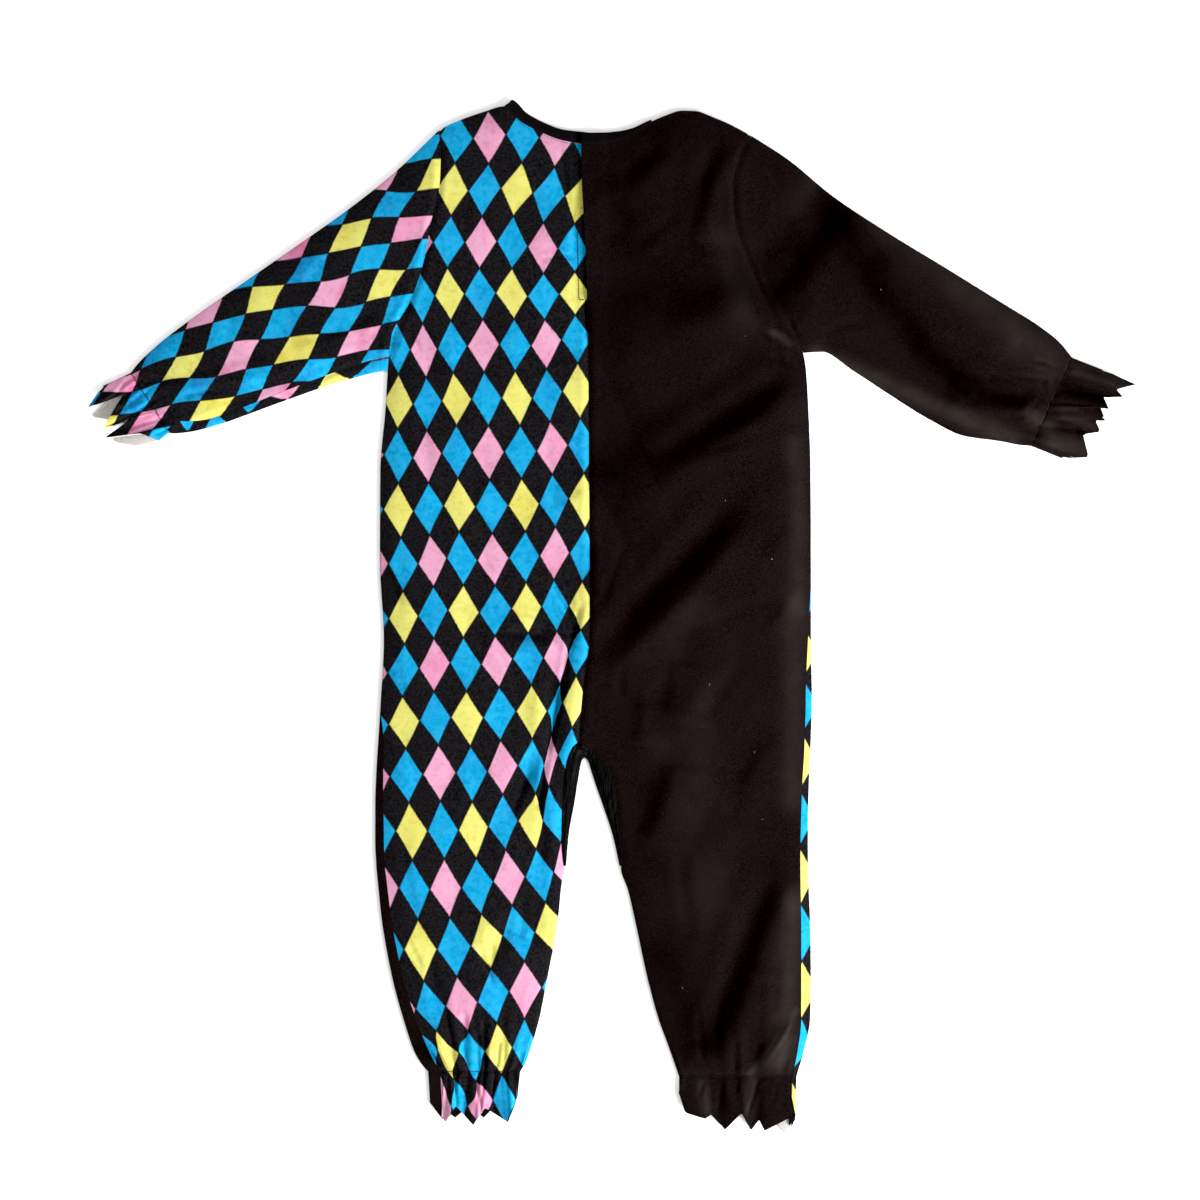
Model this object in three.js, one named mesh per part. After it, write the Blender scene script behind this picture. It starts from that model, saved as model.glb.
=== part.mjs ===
// A child's one-piece jester costume, laid flat on a surface with its back upward.
// Millimetres. +X runs to the right of the laid-out garment, +Y toward its neck, +Z up.
// "Left" and "right" are the sides of the laid-out garment seen from above.
import * as THREE from 'three';

// ---- driving dimensions ----
const wall = 1.4;              // thickness of every cloth wall
const seamGap = 0.3;           // space between two pieces at a seam
const loft = 3.6;              // rise of the upper layer inside its edges
const loftReach = 15;          // distance over which that rise builds up
const foldMid = (wall + seamGap) / 2;      // radius of the wall's middle in an edge fold
const foldOut = foldMid + wall / 2;        // radius of the same fold's outside
const quarterFold = foldMid * Math.PI / 2; // cloth length of a quarter of that fold
const lowerMid = wall / 2;     // height of the lower layer's middle
const upperMid = foldOut + foldMid;        // height of the upper layer's middle at an edge

const middleX = 0.75;          // the laid-out garment's middle, which comes to the origin
const middleY = 0.76;

const crotchHeight = -111.7;   // where both centre seams end
const gussetEnd = -222;        // where the gusset's arms end on the inner legs
const crotchSteps = [0, 4.3, 11.3, 21.5, 36, 56, 82];  // section places below the crotch
const levelHeight = 200;       // from here down both halves share their section heights
const blendDepth = 120;        // how far the neckline's curve is felt down the body

const slitEnd = 279;           // lower end of the slit at the centre back
const slitUnderlap = 6;        // how far the left edge lies under the right one there
const slitStep = 0.95;         // each edge's share of the height between them
const slitWidth = 20;          // cloth beside the slit that takes part in the step
const slitPlace = -20;         // the middle of the step along X

const gatherCount = 6;         // gathers across each layer at an elastic
const gatherHeight = 1.5;
const gatherReach = 26;        // how far the gathers run from the elastic
const ruffleWave = 2.6;        // height of the ruffle's waves at its hem

const colours = {
  print: { color: 0xf2c9a4, roughness: 0.72 },
  black: { color: 0x1d1516, roughness: 0.8 },
  satin: { color: 0x121213, roughness: 0.45 },
};

// ---- the centre seams of back and front, which lie on each other ----
const centreSeam = [
  { y: 432, x: -26.2 }, { y: 406.3, x: -26 }, { y: 384, x: -25.4 }, { y: 352.9, x: -23.6 },
  { y: 317.3, x: -21.8 }, { y: 279, x: -20.9 }, { y: 219.4, x: -19.6 }, { y: 130.4, x: -19.1 },
  { y: 50.3, x: -18.5 }, { y: -20.9, x: -18.7 }, { y: -42.3, x: -21.8 }, { y: -74.3, x: -25.4 },
  { y: -111.7, x: -28.6 },
];

// ---- the two halves of the body ----
// side: the outline beside the body, or the armhole seam above the underarm.
// inner: below the crotch, the gusset seam and then the inner leg edge.
// roll: how much of the front panel turns over the side edge to the upper side.
const leftHalf = {
  toCentre: 1,
  shoulder: 432.1, underarm: 219.4, elastic: -404.5, neckColumn: 7, frontCorner: 0.542,
  sections: [
    { y: 432.1, side: -152.6, roll: 0 },
    { y: 406.3, side: -150.9, roll: 0 },
    { y: 384, side: -151.7, roll: 0 },
    { y: 352.9, side: -158.9, roll: 0 },
    { y: 317.3, side: -165.5, roll: 0 },
    { y: 279, side: -178.4, roll: 0 },
    { y: 250.5, side: -194.5, roll: 0 },
    { y: 219.4, side: -198, roll: 0 },
    { y: 183.8, side: -200.2, roll: 0 },
    { y: 130.4, side: -204.7, roll: 0 },
    { y: 50.3, side: -205.1, roll: 0 },
    { y: -20.9, side: -201.6, roll: 0 },
    { y: -74.3, side: -204.3, roll: 0 },
    { y: -111.7, side: -206.6, inner: -28.6, roll: 5.2 },
    { y: -117, side: -207, inner: -34.4, roll: 5.6 },
    { y: -133.1, side: -208, inner: -39.8, roll: 6.2 },
    { y: -165, side: -209.2, inner: -43, roll: 7.4 },
    { y: -198.9, side: -209.3, inner: -43.8, roll: 8 },
    { y: -222, side: -208.3, inner: -41.8, roll: 8 },
    { y: -270.1, side: -203.4, inner: -46.7, roll: 9 },
    { y: -323.5, side: -193.6, inner: -56.5, roll: 10 },
    { y: -359.1, side: -183.8, inner: -63.6, roll: 11.5 },
    { y: -385.8, side: -174.9, inner: -71.6, roll: 13.5 },
    { y: -398, side: -168, inner: -76.1, roll: 13 },
    { y: -404.5, side: -162.2, inner: -80.2, roll: 11 },
  ],
  neck: [
    { x: -26.2, y: 419.6, width: 10.7 },
    { x: -47.6, y: 424.5, width: 9.4 },
    { x: -63.6, y: 431.2, width: 9 },
    { x: -80, y: 439.8, width: 9.4 },
    { x: -94.8, y: 453.5, width: 10.2 },
  ],
  shoulderLine: [
    { x: -111.7, y: 449 }, { x: -141.1, y: 438.3 }, { x: -152.6, y: 432.1 },
  ],
  hem: [
    { at: 0, x: -82.6, y: -427 },
    { at: 2 / 12, x: -90.8, y: -449.6 },
    { at: 4 / 12, x: -111.7, y: -436.6 },
    { at: 6 / 12, x: -121.9, y: -452 },
    { at: 8 / 12, x: -137.5, y: -435 },
    { at: 10 / 12, x: -146.4, y: -449.6 },
    { at: 1, x: -160.5, y: -432 },
  ],
  underHem: [
    { at: 0, x: -82.6, y: -427 },
    { at: 1 / 7, x: -90, y: -444 },
    { at: 2 / 7, x: -101, y: -434 },
    { at: 3 / 7, x: -113, y: -446 },
    { at: 4 / 7, x: -125, y: -434 },
    { at: 5 / 7, x: -138, y: -446 },
    { at: 6 / 7, x: -151, y: -436 },
    { at: 1, x: -160.5, y: -432 },
  ],
};

const rightHalf = {
  toCentre: -1,
  shoulder: 427.6, underarm: 234.5, elastic: -409, neckColumn: 5, frontCorner: 0.6,
  sections: [
    { y: 427.6, side: 125, roll: 0 },
    { y: 406.3, side: 114.4, roll: 0 },
    { y: 384, side: 109, roll: 0 },
    { y: 352.9, side: 110.8, roll: 0 },
    { y: 317.3, side: 122.4, roll: 0 },
    { y: 279, side: 138.4, roll: 0 },
    { y: 250.5, side: 156.2, roll: 0 },
    { y: 234.5, side: 171.3, roll: 0 },
    { y: 219.4, side: 174, roll: 0 },
    { y: 183.8, side: 176.2, roll: 0 },
    { y: 130.4, side: 178, roll: 0 },
    { y: 50.3, side: 178.4, roll: 0 },
    { y: -20.9, side: 178.4, roll: 3 },
    { y: -74.3, side: 179.3, roll: 5.9 },
    { y: -111.7, side: 178.2, inner: -28.6, roll: 5.8 },
    { y: -117, side: 178, inner: -20.4, roll: 5.8 },
    { y: -123, side: 177.8, inner: -11.5, roll: 5.8 },
    { y: -133.1, side: 177.2, inner: -2.6, roll: 5.9 },
    { y: -147.7, side: 176.6, inner: 3.4, roll: 6.2 },
    { y: -178.4, side: 175.9, inner: 6.2, roll: 6.6 },
    { y: -198.9, side: 175.7, inner: 7.4, roll: 6.9 },
    { y: -222, side: 175.8, inner: 10.6, roll: 7.2 },
    { y: -270.1, side: 177.6, inner: 21.8, roll: 8.3 },
    { y: -323.5, side: 178.4, inner: 33.4, roll: 9 },
    { y: -359.1, side: 177.6, inner: 43.2, roll: 8.3 },
    { y: -385.8, side: 172.2, inner: 53, roll: 6 },
    { y: -409, side: 165.6, inner: 61, roll: 4 },
  ],
  neck: [
    { x: -26.2, y: 418.9, width: 11.1 },
    { x: -6.7, y: 419.6, width: 10.6 },
    { x: 8, y: 422.4, width: 9.1 },
    { x: 22, y: 429.4, width: 6.6 },
    { x: 37, y: 440.2, width: 3.2 },
  ],
  shoulderLine: [
    { x: 50.3, y: 446 }, { x: 63, y: 449.8 }, { x: 76, y: 449.4 }, { x: 89, y: 444.8 },
    { x: 104.6, y: 438.3 }, { x: 125, y: 427.6 },
  ],
  hem: [
    { at: 0, x: 61, y: -424 },
    { at: 1 / 12, x: 66.3, y: -441 },
    { at: 2 / 12, x: 84.1, y: -446.4 },
    { at: 3 / 12, x: 89.4, y: -442.8 },
    { at: 5 / 12, x: 101.9, y: -456.1 },
    { at: 6 / 12, x: 116.6, y: -441.4 },
    { at: 8 / 12, x: 125, y: -457 },
    { at: 9 / 12, x: 132.2, y: -447.2 },
    { at: 10 / 12, x: 137, y: -457 },
    { at: 1, x: 164.6, y: -443 },
  ],
  underHem: [
    { at: 0, x: 61, y: -424 },
    { at: 1 / 7, x: 70, y: -440 },
    { at: 2 / 7, x: 84, y: -436 },
    { at: 3 / 7, x: 97, y: -452 },
    { at: 4 / 7, x: 112, y: -438 },
    { at: 5 / 7, x: 128, y: -450 },
    { at: 6 / 7, x: 154.4, y: -459.7 },
    { at: 1, x: 164.6, y: -443 },
  ],
};

// The front neckline is cut lower than the back one. part is the share of the way from the
// centre to the shoulder's neck corner.
const frontNeck = [
  { part: 0, y: 373 },
  { part: 0.26, y: 377 },
  { part: 0.55, y: 388 },
  { part: 0.8, y: 408 },
  { part: 0.93, y: 430 },
];
const frontBindingWidth = 9.5;
const frontNeckColumn = 5;
const bodyColumns = 12;        // spaces across the flat of a back panel
const frontColumns = 7;        // and of a front panel
const leastColumn = 0.6;       // least space between two columns beside a seam

// ---- the sleeves: upper and lower edges, one row for each section, then the cuff's hem ----
const leftSleeve = {
  half: leftHalf,
  sections: [
    { upX: -152.6, upY: 432.1, lowX: -198, lowY: 219.4 },
    { upX: -190.9, upY: 395.6, lowX: -217, lowY: 215.2 },
    { upX: -231, upY: 363.6, lowX: -249.6, lowY: 206 },
    { upX: -276.3, upY: 331.5, lowX: -285.2, lowY: 193.6 },
    { upX: -322.6, upY: 299.5, lowX: -319.1, lowY: 181.1 },
    { upX: -368.9, upY: 267.4, lowX: -349.3, lowY: 170.4 },
    { upX: -402.7, upY: 241.6, lowX: -374.2, lowY: 164.2 },
    { upX: -419.6, upY: 225.6, lowX: -387, lowY: 162.9 },
    { upX: -426.8, upY: 216.7, lowX: -392.9, lowY: 163.3 },
  ],
  hem: [
    { at: 0, x: -451.7, y: 205.1 },
    { at: 0.1, x: -465, y: 185 },
    { at: 0.3, x: -433, y: 198 },
    { at: 0.5, x: -451.7, y: 166 },
    { at: 0.7, x: -425, y: 176.7 },
    { at: 0.8, x: -450.5, y: 158.4 },
    { at: 0.9, x: -416.1, y: 162.6 },
    { at: 1, x: -401.9, y: 156.2 },
  ],
  underHem: [
    { at: 0, x: -451.7, y: 205.1 },
    { at: 0.1, x: -442, y: 196 },
    { at: 0.3, x: -462.4, y: 178.4 },
    { at: 0.5, x: -432, y: 172 },
    { at: 0.7, x: -430, y: 168 },
    { at: 0.8, x: -442.8, y: 155.6 },
    { at: 0.9, x: -422.3, y: 151.7 },
    { at: 1, x: -401.9, y: 156.2 },
  ],
};

const rightSleeve = {
  half: rightHalf,
  sections: [
    { upX: 125, upY: 427.6, lowX: 171.3, lowY: 234.5 },
    { upX: 158, upY: 406.3, lowX: 189.1, lowY: 235.4 },
    { upX: 197.1, upY: 374.2, lowX: 217.6, lowY: 217.6 },
    { upX: 245.2, upY: 342.2, lowX: 251.4, lowY: 195.4 },
    { upX: 297.7, upY: 310.2, lowX: 284.4, lowY: 174.9 },
    { upX: 346.7, upY: 279.9, lowX: 314.6, lowY: 160.6 },
    { upX: 382.3, upY: 257.7, lowX: 344.9, lowY: 156.2 },
    { upX: 400.1, upY: 243.4, lowX: 364.5, lowY: 152.6 },
    { upX: 410.7, upY: 230.1, lowX: 374.2, lowY: 151.7 },
  ],
  hem: [
    { at: 0, x: 438, y: 219.4 },
    { at: 0.1, x: 466.5, y: 206.2 },
    { at: 0.2, x: 449.5, y: 202 },
    { at: 0.3, x: 455.8, y: 195.2 },
    { at: 0.4, x: 438.2, y: 195.2 },
    { at: 0.5, x: 442.8, y: 184.4 },
    { at: 0.6, x: 429.2, y: 187.3 },
    { at: 0.7, x: 440.5, y: 174.2 },
    { at: 0.8, x: 421, y: 162.2 },
    { at: 0.9, x: 424.6, y: 142.6 },
    { at: 1, x: 401.8, y: 140.6 },
  ],
  underHem: [
    { at: 0, x: 438, y: 219.4 },
    { at: 0.2, x: 452, y: 204 },
    { at: 0.4, x: 434, y: 192 },
    { at: 0.6, x: 439, y: 178 },
    { at: 0.8, x: 418, y: 166 },
    { at: 0.9, x: 421, y: 146 },
    { at: 1, x: 401.8, y: 140.6 },
  ],
};
const sleeveColumns = 10;
const sleeveSteps = 12;

// ---- the gusset: its free edge, one row for each section from the crotch down each leg ----
const gussetEdge = {
  left: [
    { x: -22.9, y: -125.5 }, { x: -24.4, y: -126.6 }, { x: -25.6, y: -128.8 },
    { x: -27, y: -135 }, { x: -29.2, y: -148 }, { x: -32.2, y: -167 }, { x: -37, y: -193.6 },
    { x: -39.4, y: -221.4 },
  ],
  right: [
    { x: -22.9, y: -125.5 }, { x: -21.4, y: -126.6 }, { x: -19.8, y: -129 },
    { x: -17.4, y: -136.4 }, { x: -13, y: -150 }, { x: -6.6, y: -168.4 }, { x: 2, y: -194.6 },
    { x: 8, y: -221.4 },
  ],
};

// ---- the largest folds of the upper layer, each a bowed line with a trough along it ----
// deep is the trough's depth, or the height of a ridge where it is negative.
const folds = [
  { fromX: 99, fromY: 421, viaX: 92, viaY: 402, toX: 77, toY: 381, width: 11, deep: 1.6 },
  { fromX: 43, fromY: 421, viaX: 30, viaY: 404, toX: 8, toY: 388, width: 12, deep: 1.8 },
  { fromX: 119, fromY: 304, viaX: 85, viaY: 292, toX: 40, toY: 278, width: 20, deep: 2.2 },
  { fromX: 161, fromY: 219, viaX: 104, viaY: 176, toX: 32, toY: 135, width: 15, deep: 3 },
  { fromX: 111, fromY: 98, viaX: 50, viaY: 34, toX: -15, toY: -39, width: 16, deep: 3 },
  { fromX: 161, fromY: 114, viaX: 160, viaY: 90, toX: 153, toY: 69, width: 12, deep: 1.8 },
  { fromX: 51, fromY: -50, viaX: 52, viaY: -100, toX: 51, toY: -150, width: 18, deep: 1.6 },
  { fromX: 149, fromY: -223, viaX: 112, viaY: -300, toX: 84, toY: -392, width: 14, deep: 2.6 },
  { fromX: 165, fromY: -356, viaX: 152, viaY: -384, toX: 129, toY: -408, width: 10, deep: -2.4 },
  { fromX: 205, fromY: 356, viaX: 164, viaY: 322, toX: 154, toY: 288, width: 14, deep: 1.8 },
  { fromX: 224, fromY: 333, viaX: 240, viaY: 284, toX: 279, toY: 234, width: 15, deep: 1.8 },
  { fromX: 320, fromY: 197, viaX: 348, viaY: 194, toX: 372, toY: 194, width: 10, deep: 1.6 },
  { fromX: -52, fromY: -56, viaX: -48, viaY: -110, toX: -49, toY: -163, width: 11, deep: 3 },
  { fromX: -60, fromY: -112, viaX: -72, viaY: -134, toX: -84, toY: -156, width: 13, deep: 1.8 },
  { fromX: -90, fromY: -14, viaX: -72, viaY: -19, toX: -54, toY: -13, width: 10, deep: 1.6 },
  { fromX: -190, fromY: 262, viaX: -170, viaY: 246, toX: -150, toY: 214, width: 13, deep: 2 },
  { fromX: -236, fromY: 222, viaX: -290, viaY: 208, toX: -350, toY: 184, width: 10, deep: 1.5 },
  { fromX: -84, fromY: -268, viaX: -104, viaY: -290, toX: -112, toY: -322, width: 12, deep: 1.4 },
];

// ---- reading the tables ----
const mix = (a, b, t) => a + (b - a) * t;
const clamp = (v) => Math.min(1, Math.max(0, v));
const smooth = (v) => clamp(v) * clamp(v) * (3 - 2 * clamp(v));

// A curve through a table's values that never runs past them between two rows.
function curveThrough(rows, key, value) {
  const points = rows.map((row) => [row[key], row[value]]).sort((a, b) => a[0] - b[0]);
  const last = points.length - 1;
  const rise = points.slice(1).map((p, i) => (p[1] - points[i][1]) / (p[0] - points[i][0]));
  const slope = points.map((p, i) => {
    if (i === 0) return rise[0];
    if (i === last) return rise[last - 1];
    if (rise[i - 1] * rise[i] <= 0) return 0;
    return 2 * rise[i - 1] * rise[i] / (rise[i - 1] + rise[i]);
  });
  return (at) => {
    if (at <= points[0][0]) return points[0][1];
    if (at >= points[last][0]) return points[last][1];
    const i = points.findIndex((p) => p[0] > at) - 1;
    const span = points[i + 1][0] - points[i][0];
    const t = (at - points[i][0]) / span;
    const start = points[i][1] * (1 + 2 * t) * (1 - t) ** 2 + slope[i] * span * t * (1 - t) ** 2;
    const end = points[i + 1][1] * t * t * (3 - 2 * t) + slope[i + 1] * span * t * t * (t - 1);
    return start + end;
  };
}

// Straight lines between a table's rows, for hems with points.
function lineThrough(rows, key, value) {
  return (at) => {
    const next = rows.findIndex((row) => row[key] >= at - 1e-9);
    if (next <= 0) return rows[Math.max(next, 0)][value];
    const before = rows[next - 1];
    const t = (at - before[key]) / (rows[next][key] - before[key]);
    return mix(before[value], rows[next][value], t);
  };
}

function readHalf(half) {
  const centreLine = curveThrough(centreSeam, 'y', 'x');
  const legs = half.sections.filter((row) => row.y <= crotchHeight);
  const legLine = curveThrough(legs, 'y', 'inner');
  half.side = curveThrough(half.sections, 'y', 'side');
  half.inner = (y) => (y >= crotchHeight ? centreLine(y) : legLine(y));
  half.roll = curveThrough(half.sections, 'y', 'roll');
  const centre = half.neck[0].x;
  const width = half.shoulderLine.at(-1).x - centre;
  const top = [...half.neck, ...half.shoulderLine]
    .map((row) => ({ at: (row.x - centre) / width, y: row.y }));
  half.topLine = curveThrough(top, 'at', 'y');
  half.neckAt = top[half.neck.length - 1].at;
  half.bindingWidth = curveThrough(
    half.neck.map((row) => ({ at: (row.x - centre) / width, width: row.width })), 'at', 'width');

  const corner = { at: half.frontCorner, y: half.topLine(half.frontCorner) };
  const frontLine = frontNeck.map((row) => ({ at: row.part * half.frontCorner, y: row.y }));
  half.frontNeckAt = frontLine.at(-1).at;
  const outward = top.filter((row) => row.at > half.frontCorner + 0.01);
  half.frontLine = curveThrough([...frontLine, corner, ...outward], 'at', 'y');
}
readHalf(leftHalf);
readHalf(rightHalf);

// ---- the outline that the loft is measured from ----
function outlinePoints() {
  const down = (half) => half.sections.filter((row) => row.y <= half.underarm)
    .map((row) => [row.side, row.y]);
  const inside = (half) => half.sections.filter((row) => row.y < gussetEnd)
    .map((row) => [row.inner, row.y]);
  const sleeve = (arm) => [
    ...arm.sections.map((row) => [row.upX, row.upY]),
    ...arm.sections.map((row) => [row.lowX, row.lowY]).reverse(),
  ];
  const neck = (half) => half.neck.map((row) => [row.x + half.toCentre * row.width * 0.4,
    row.y + row.width * 0.9]);
  const shoulder = (half) => half.shoulderLine.map((row) => [row.x, row.y]);
  const edge = (rows) => rows.map((row) => [row.x, row.y]);
  return [
    ...neck(leftHalf), ...shoulder(leftHalf), ...sleeve(leftSleeve), ...down(leftHalf),
    ...inside(leftHalf).reverse(), ...edge(gussetEdge.left).reverse(),
    ...edge(gussetEdge.right), ...inside(rightHalf), ...down(rightHalf).reverse(),
    ...sleeve(rightSleeve).reverse(), ...shoulder(rightHalf).reverse(),
    ...neck(rightHalf).reverse(),
  ];
}
const outline = outlinePoints();

// How far a place is inside the outline, or 0 outside it.
function depthInside(x, y) {
  let inside = false;
  let nearest = Infinity;
  outline.forEach(([bx, by], i) => {
    const [ax, ay] = outline[(i + outline.length - 1) % outline.length];
    const length = (bx - ax) ** 2 + (by - ay) ** 2;
    if (length < 1e-6) return;
    const t = clamp(((x - ax) * (bx - ax) + (y - ay) * (by - ay)) / length);
    nearest = Math.min(nearest, Math.hypot(x - mix(ax, bx, t), y - mix(ay, by, t)));
    if ((ay > y) !== (by > y) && x < mix(ax, bx, (y - ay) / (by - ay))) inside = !inside;
  });
  return inside ? nearest : 0;
}

// ---- the upper layer's height ----
function bow(fold, t) {
  const a = (1 - t) ** 2;
  const b = 2 * t * (1 - t);
  return [
    a * fold.fromX + b * fold.viaX + t * t * fold.toX,
    a * fold.fromY + b * fold.viaY + t * t * fold.toY,
  ];
}
const foldLines = folds.map((fold) => ({
  ...fold, points: Array.from({ length: 9 }, (_, i) => bow(fold, i / 8)),
}));

// A trough with a lower ridge along each side, dying away at both ends.
function foldRise(fold, x, y) {
  let nearest = Infinity;
  let along = 0;
  for (let i = 1; i < fold.points.length; i += 1) {
    const [ax, ay] = fold.points[i - 1];
    const [bx, by] = fold.points[i];
    const t = clamp(((x - ax) * (bx - ax) + (y - ay) * (by - ay))
      / ((bx - ax) ** 2 + (by - ay) ** 2));
    const distance = Math.hypot(x - mix(ax, bx, t), y - mix(ay, by, t));
    if (distance < nearest) {
      nearest = distance;
      along = (i - 1 + t) / (fold.points.length - 1);
    }
  }
  const off = nearest / fold.width;
  if (off > 3) return 0;
  const fade = smooth(Math.min(along, 1 - along) * 5 + 0.15);
  return -fold.deep * fade * Math.cos(off * 1.9) * Math.exp(-off * off * 0.45);
}

function upperHeight(x, y) {
  const depth = Math.max(0, depthInside(x, y) - foldOut);
  const inside = 1 - Math.exp(-depth / loftReach);
  const rise = foldLines.reduce((sum, fold) => sum + foldRise(fold, x, y), 0);
  return upperMid + loft * inside + Math.max(rise, 0.7 - loft) * inside;
}

// The edges beside the slit part company: the right one lies on the left one.
function slitHeight(x, y) {
  const near = smooth((slitWidth - Math.abs(x - slitPlace)) / slitWidth * 1.8);
  return slitStep * near * smooth((y - slitEnd + 44) / 30);
}
const leftHeight = (x, y) => upperHeight(x, y) - slitHeight(x, y);
const rightHeight = (x, y) => upperHeight(x, y) + slitHeight(x, y);

// ---- places on the cloth: the middle of its wall and the way its outside faces ----
function onUpper(height, x, y, extra = 0) {
  const step = 1.5;
  const slopeX = (height(x + step, y) - height(x - step, y)) / (2 * step);
  const slopeY = (height(x, y + step) - height(x, y - step)) / (2 * step);
  const normal = new THREE.Vector3(-slopeX, -slopeY, 1).normalize();
  return { point: new THREE.Vector3(x, y, height(x, y) + extra), normal };
}

function onLower(x, y) {
  return { point: new THREE.Vector3(x, y, lowerMid), normal: new THREE.Vector3(0, 0, -1) };
}

// A place in an edge fold. reach is the cloth's distance past the fold's outermost line,
// above 0 on the upper side and below 0 on the lower side; way points into the garment.
function onFold(height, edge, way, reach) {
  const inward = Math.abs(reach) - quarterFold;
  if (inward >= 0) {
    const x = edge.x + way.x * (foldOut + inward);
    const y = edge.y + way.y * (foldOut + inward);
    return reach > 0 ? onUpper(height, x, y, edge.extra ?? 0) : onLower(x, y);
  }
  const turn = reach / quarterFold * Math.PI / 2;
  const out = foldOut - foldMid * Math.cos(turn);
  const lift = (edge.extra ?? 0) * Math.max(0, Math.sin(turn));
  const point = new THREE.Vector3(edge.x + way.x * out, edge.y + way.y * out,
    foldOut + foldMid * Math.sin(turn) + lift);
  const normal = new THREE.Vector3(-way.x * Math.cos(turn), -way.y * Math.cos(turn),
    Math.sin(turn));
  return { point, normal: normal.normalize() };
}

// ---- a wall of cloth from rows of places, open or closed across ----
function clothWall(rows, ring = false) {
  const count = rows[0].length;
  const positions = [];
  for (const way of [wall / 2, -wall / 2]) {
    for (const row of rows) {
      for (const { point, normal } of row) {
        positions.push(...point.clone().addScaledVector(normal, way).toArray());
      }
    }
  }
  const under = rows.length * count;
  const index = [];
  const quad = (a, b, c, d) => index.push(a, b, c, a, c, d);
  const spans = ring ? count : count - 1;
  for (let j = 0; j < rows.length - 1; j += 1) {
    for (let i = 0; i < spans; i += 1) {
      const a = j * count + i;
      const b = j * count + (i + 1) % count;
      quad(a, a + count, b + count, b);
      quad(under + a, under + b, under + b + count, under + a + count);
    }
  }
  const rim = (a, b) => quad(a, b, under + b, under + a);
  const lastRow = (rows.length - 1) * count;
  for (let i = 0; i < spans; i += 1) {
    const next = (i + 1) % count;
    rim(i, next);
    rim(lastRow + next, lastRow + i);
  }
  if (!ring) {
    for (let j = 0; j < rows.length - 1; j += 1) {
      rim((j + 1) * count, j * count);
      rim(j * count + count - 1, (j + 1) * count + count - 1);
    }
  }
  const geometry = new THREE.BufferGeometry();
  geometry.setAttribute('position', new THREE.Float32BufferAttribute(positions, 3));
  geometry.setIndex(facingOut(positions, index));
  geometry.computeVertexNormals();
  return geometry;
}

// Turns every face over if the wall came out inside-out.
function facingOut(positions, index) {
  let volume = 0;
  const at = (i) => new THREE.Vector3().fromArray(positions, index[i] * 3);
  for (let i = 0; i < index.length; i += 3) volume += at(i).dot(at(i + 1).cross(at(i + 2)));
  return volume < 0 ? index.reverse() : index;
}

// ---- rows down each half of the body ----
function bodyRows(half) {
  const rows = [];
  const spread = (from, to, steps, kind) => {
    for (let i = 1; i <= steps; i += 1) rows.push({ y: mix(from, to, i / steps), kind });
  };
  rows.push({ y: half.shoulder, kind: 'armhole' });
  spread(half.shoulder, half.underarm + 1.2, 10, 'armhole');
  rows.push({ y: half.underarm - 1.2, kind: 'side' });
  spread(half.underarm - 1.2, levelHeight, 1, 'side');
  spread(levelHeight, crotchHeight, 12, 'side');
  crotchSteps.slice(1).forEach((step) => rows.push({ y: crotchHeight - step, kind: 'side' }));
  rows.push({ y: gussetEnd, kind: 'side' });
  rows.push({ y: gussetEnd - 6, kind: 'leg' });
  spread(gussetEnd - 6, half.elastic, 8, 'leg');
  [0.35, 0.7, 1].forEach((ruffle) => rows.push({ y: half.elastic, kind: 'leg', ruffle }));
  return rows;
}

// A place across the body at a row: at is 0 on the centre or inner leg, 1 on the side.
// A ruffle's rows run to the hem's place for the column, counted from 0 to 1 in the same way.
function acrossBody(half, row, at, layer, column = at) {
  if (row.ruffle) {
    const hem = layer === 'back' ? half.hem : half.underHem;
    const x = mix(half.inner(row.y), half.side(row.y), at);
    return {
      x: mix(x, lineThrough(hem, 'at', 'x')(column), row.ruffle),
      y: mix(row.y, lineThrough(hem, 'at', 'y')(column), row.ruffle),
    };
  }
  const line = layer === 'back' ? half.topLine : half.frontLine;
  const felt = smooth((row.y - half.shoulder + blendDepth) / blendDepth);
  const y = row.y + (line(at) - half.shoulder) * felt;
  return { x: mix(half.inner(y), half.side(y), at), y };
}

// Gathers at the elastic and waves in the ruffle lift the cloth by this much.
function gatherLift(distance, at, ruffle) {
  const wave = 0.5 + 0.5 * Math.cos(at * gatherCount * 2 * Math.PI);
  const near = Math.exp(-distance / gatherReach) * smooth(distance / 6);
  const flare = ruffle ? ruffle * ruffleWave * (0.5 - 0.5 * Math.cos(at * 6 * Math.PI)) : 0;
  return gatherHeight * wave * (ruffle ? 0.6 : near) + flare;
}

const flatEnd = [0, 0.8, 1.6];           // columns beside a seam at an edge
const frontSide = [2, 1, 0, -1, -2].map((part) => part * quarterFold / 2);

const endWidth = 2.6;                    // cloth from an edge to the first column of the flat

// Columns across the flat of a panel, with one at the end of the neck binding.
function spreadColumns(count, neckColumn, neckAt, atInner, atSide) {
  return Array.from({ length: count + 1 }, (_, i) => (i <= neckColumn
    ? mix(atInner, neckAt, i / neckColumn)
    : mix(neckAt, atSide, (i - neckColumn) / (count - neckColumn))));
}

function backColumns(half, row) {
  const inner = acrossBody(half, row, 0, 'back');
  const side = acrossBody(half, row, 1, 'back');
  const width = Math.abs(side.x - inner.x);
  const atSide = 1 - (half.roll(row.y) + foldOut + endWidth) / width;
  const columns = spreadColumns(bodyColumns, half.neckColumn, half.neckAt, endWidth / width, atSide);
  return { inner, side, columns };
}

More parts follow.
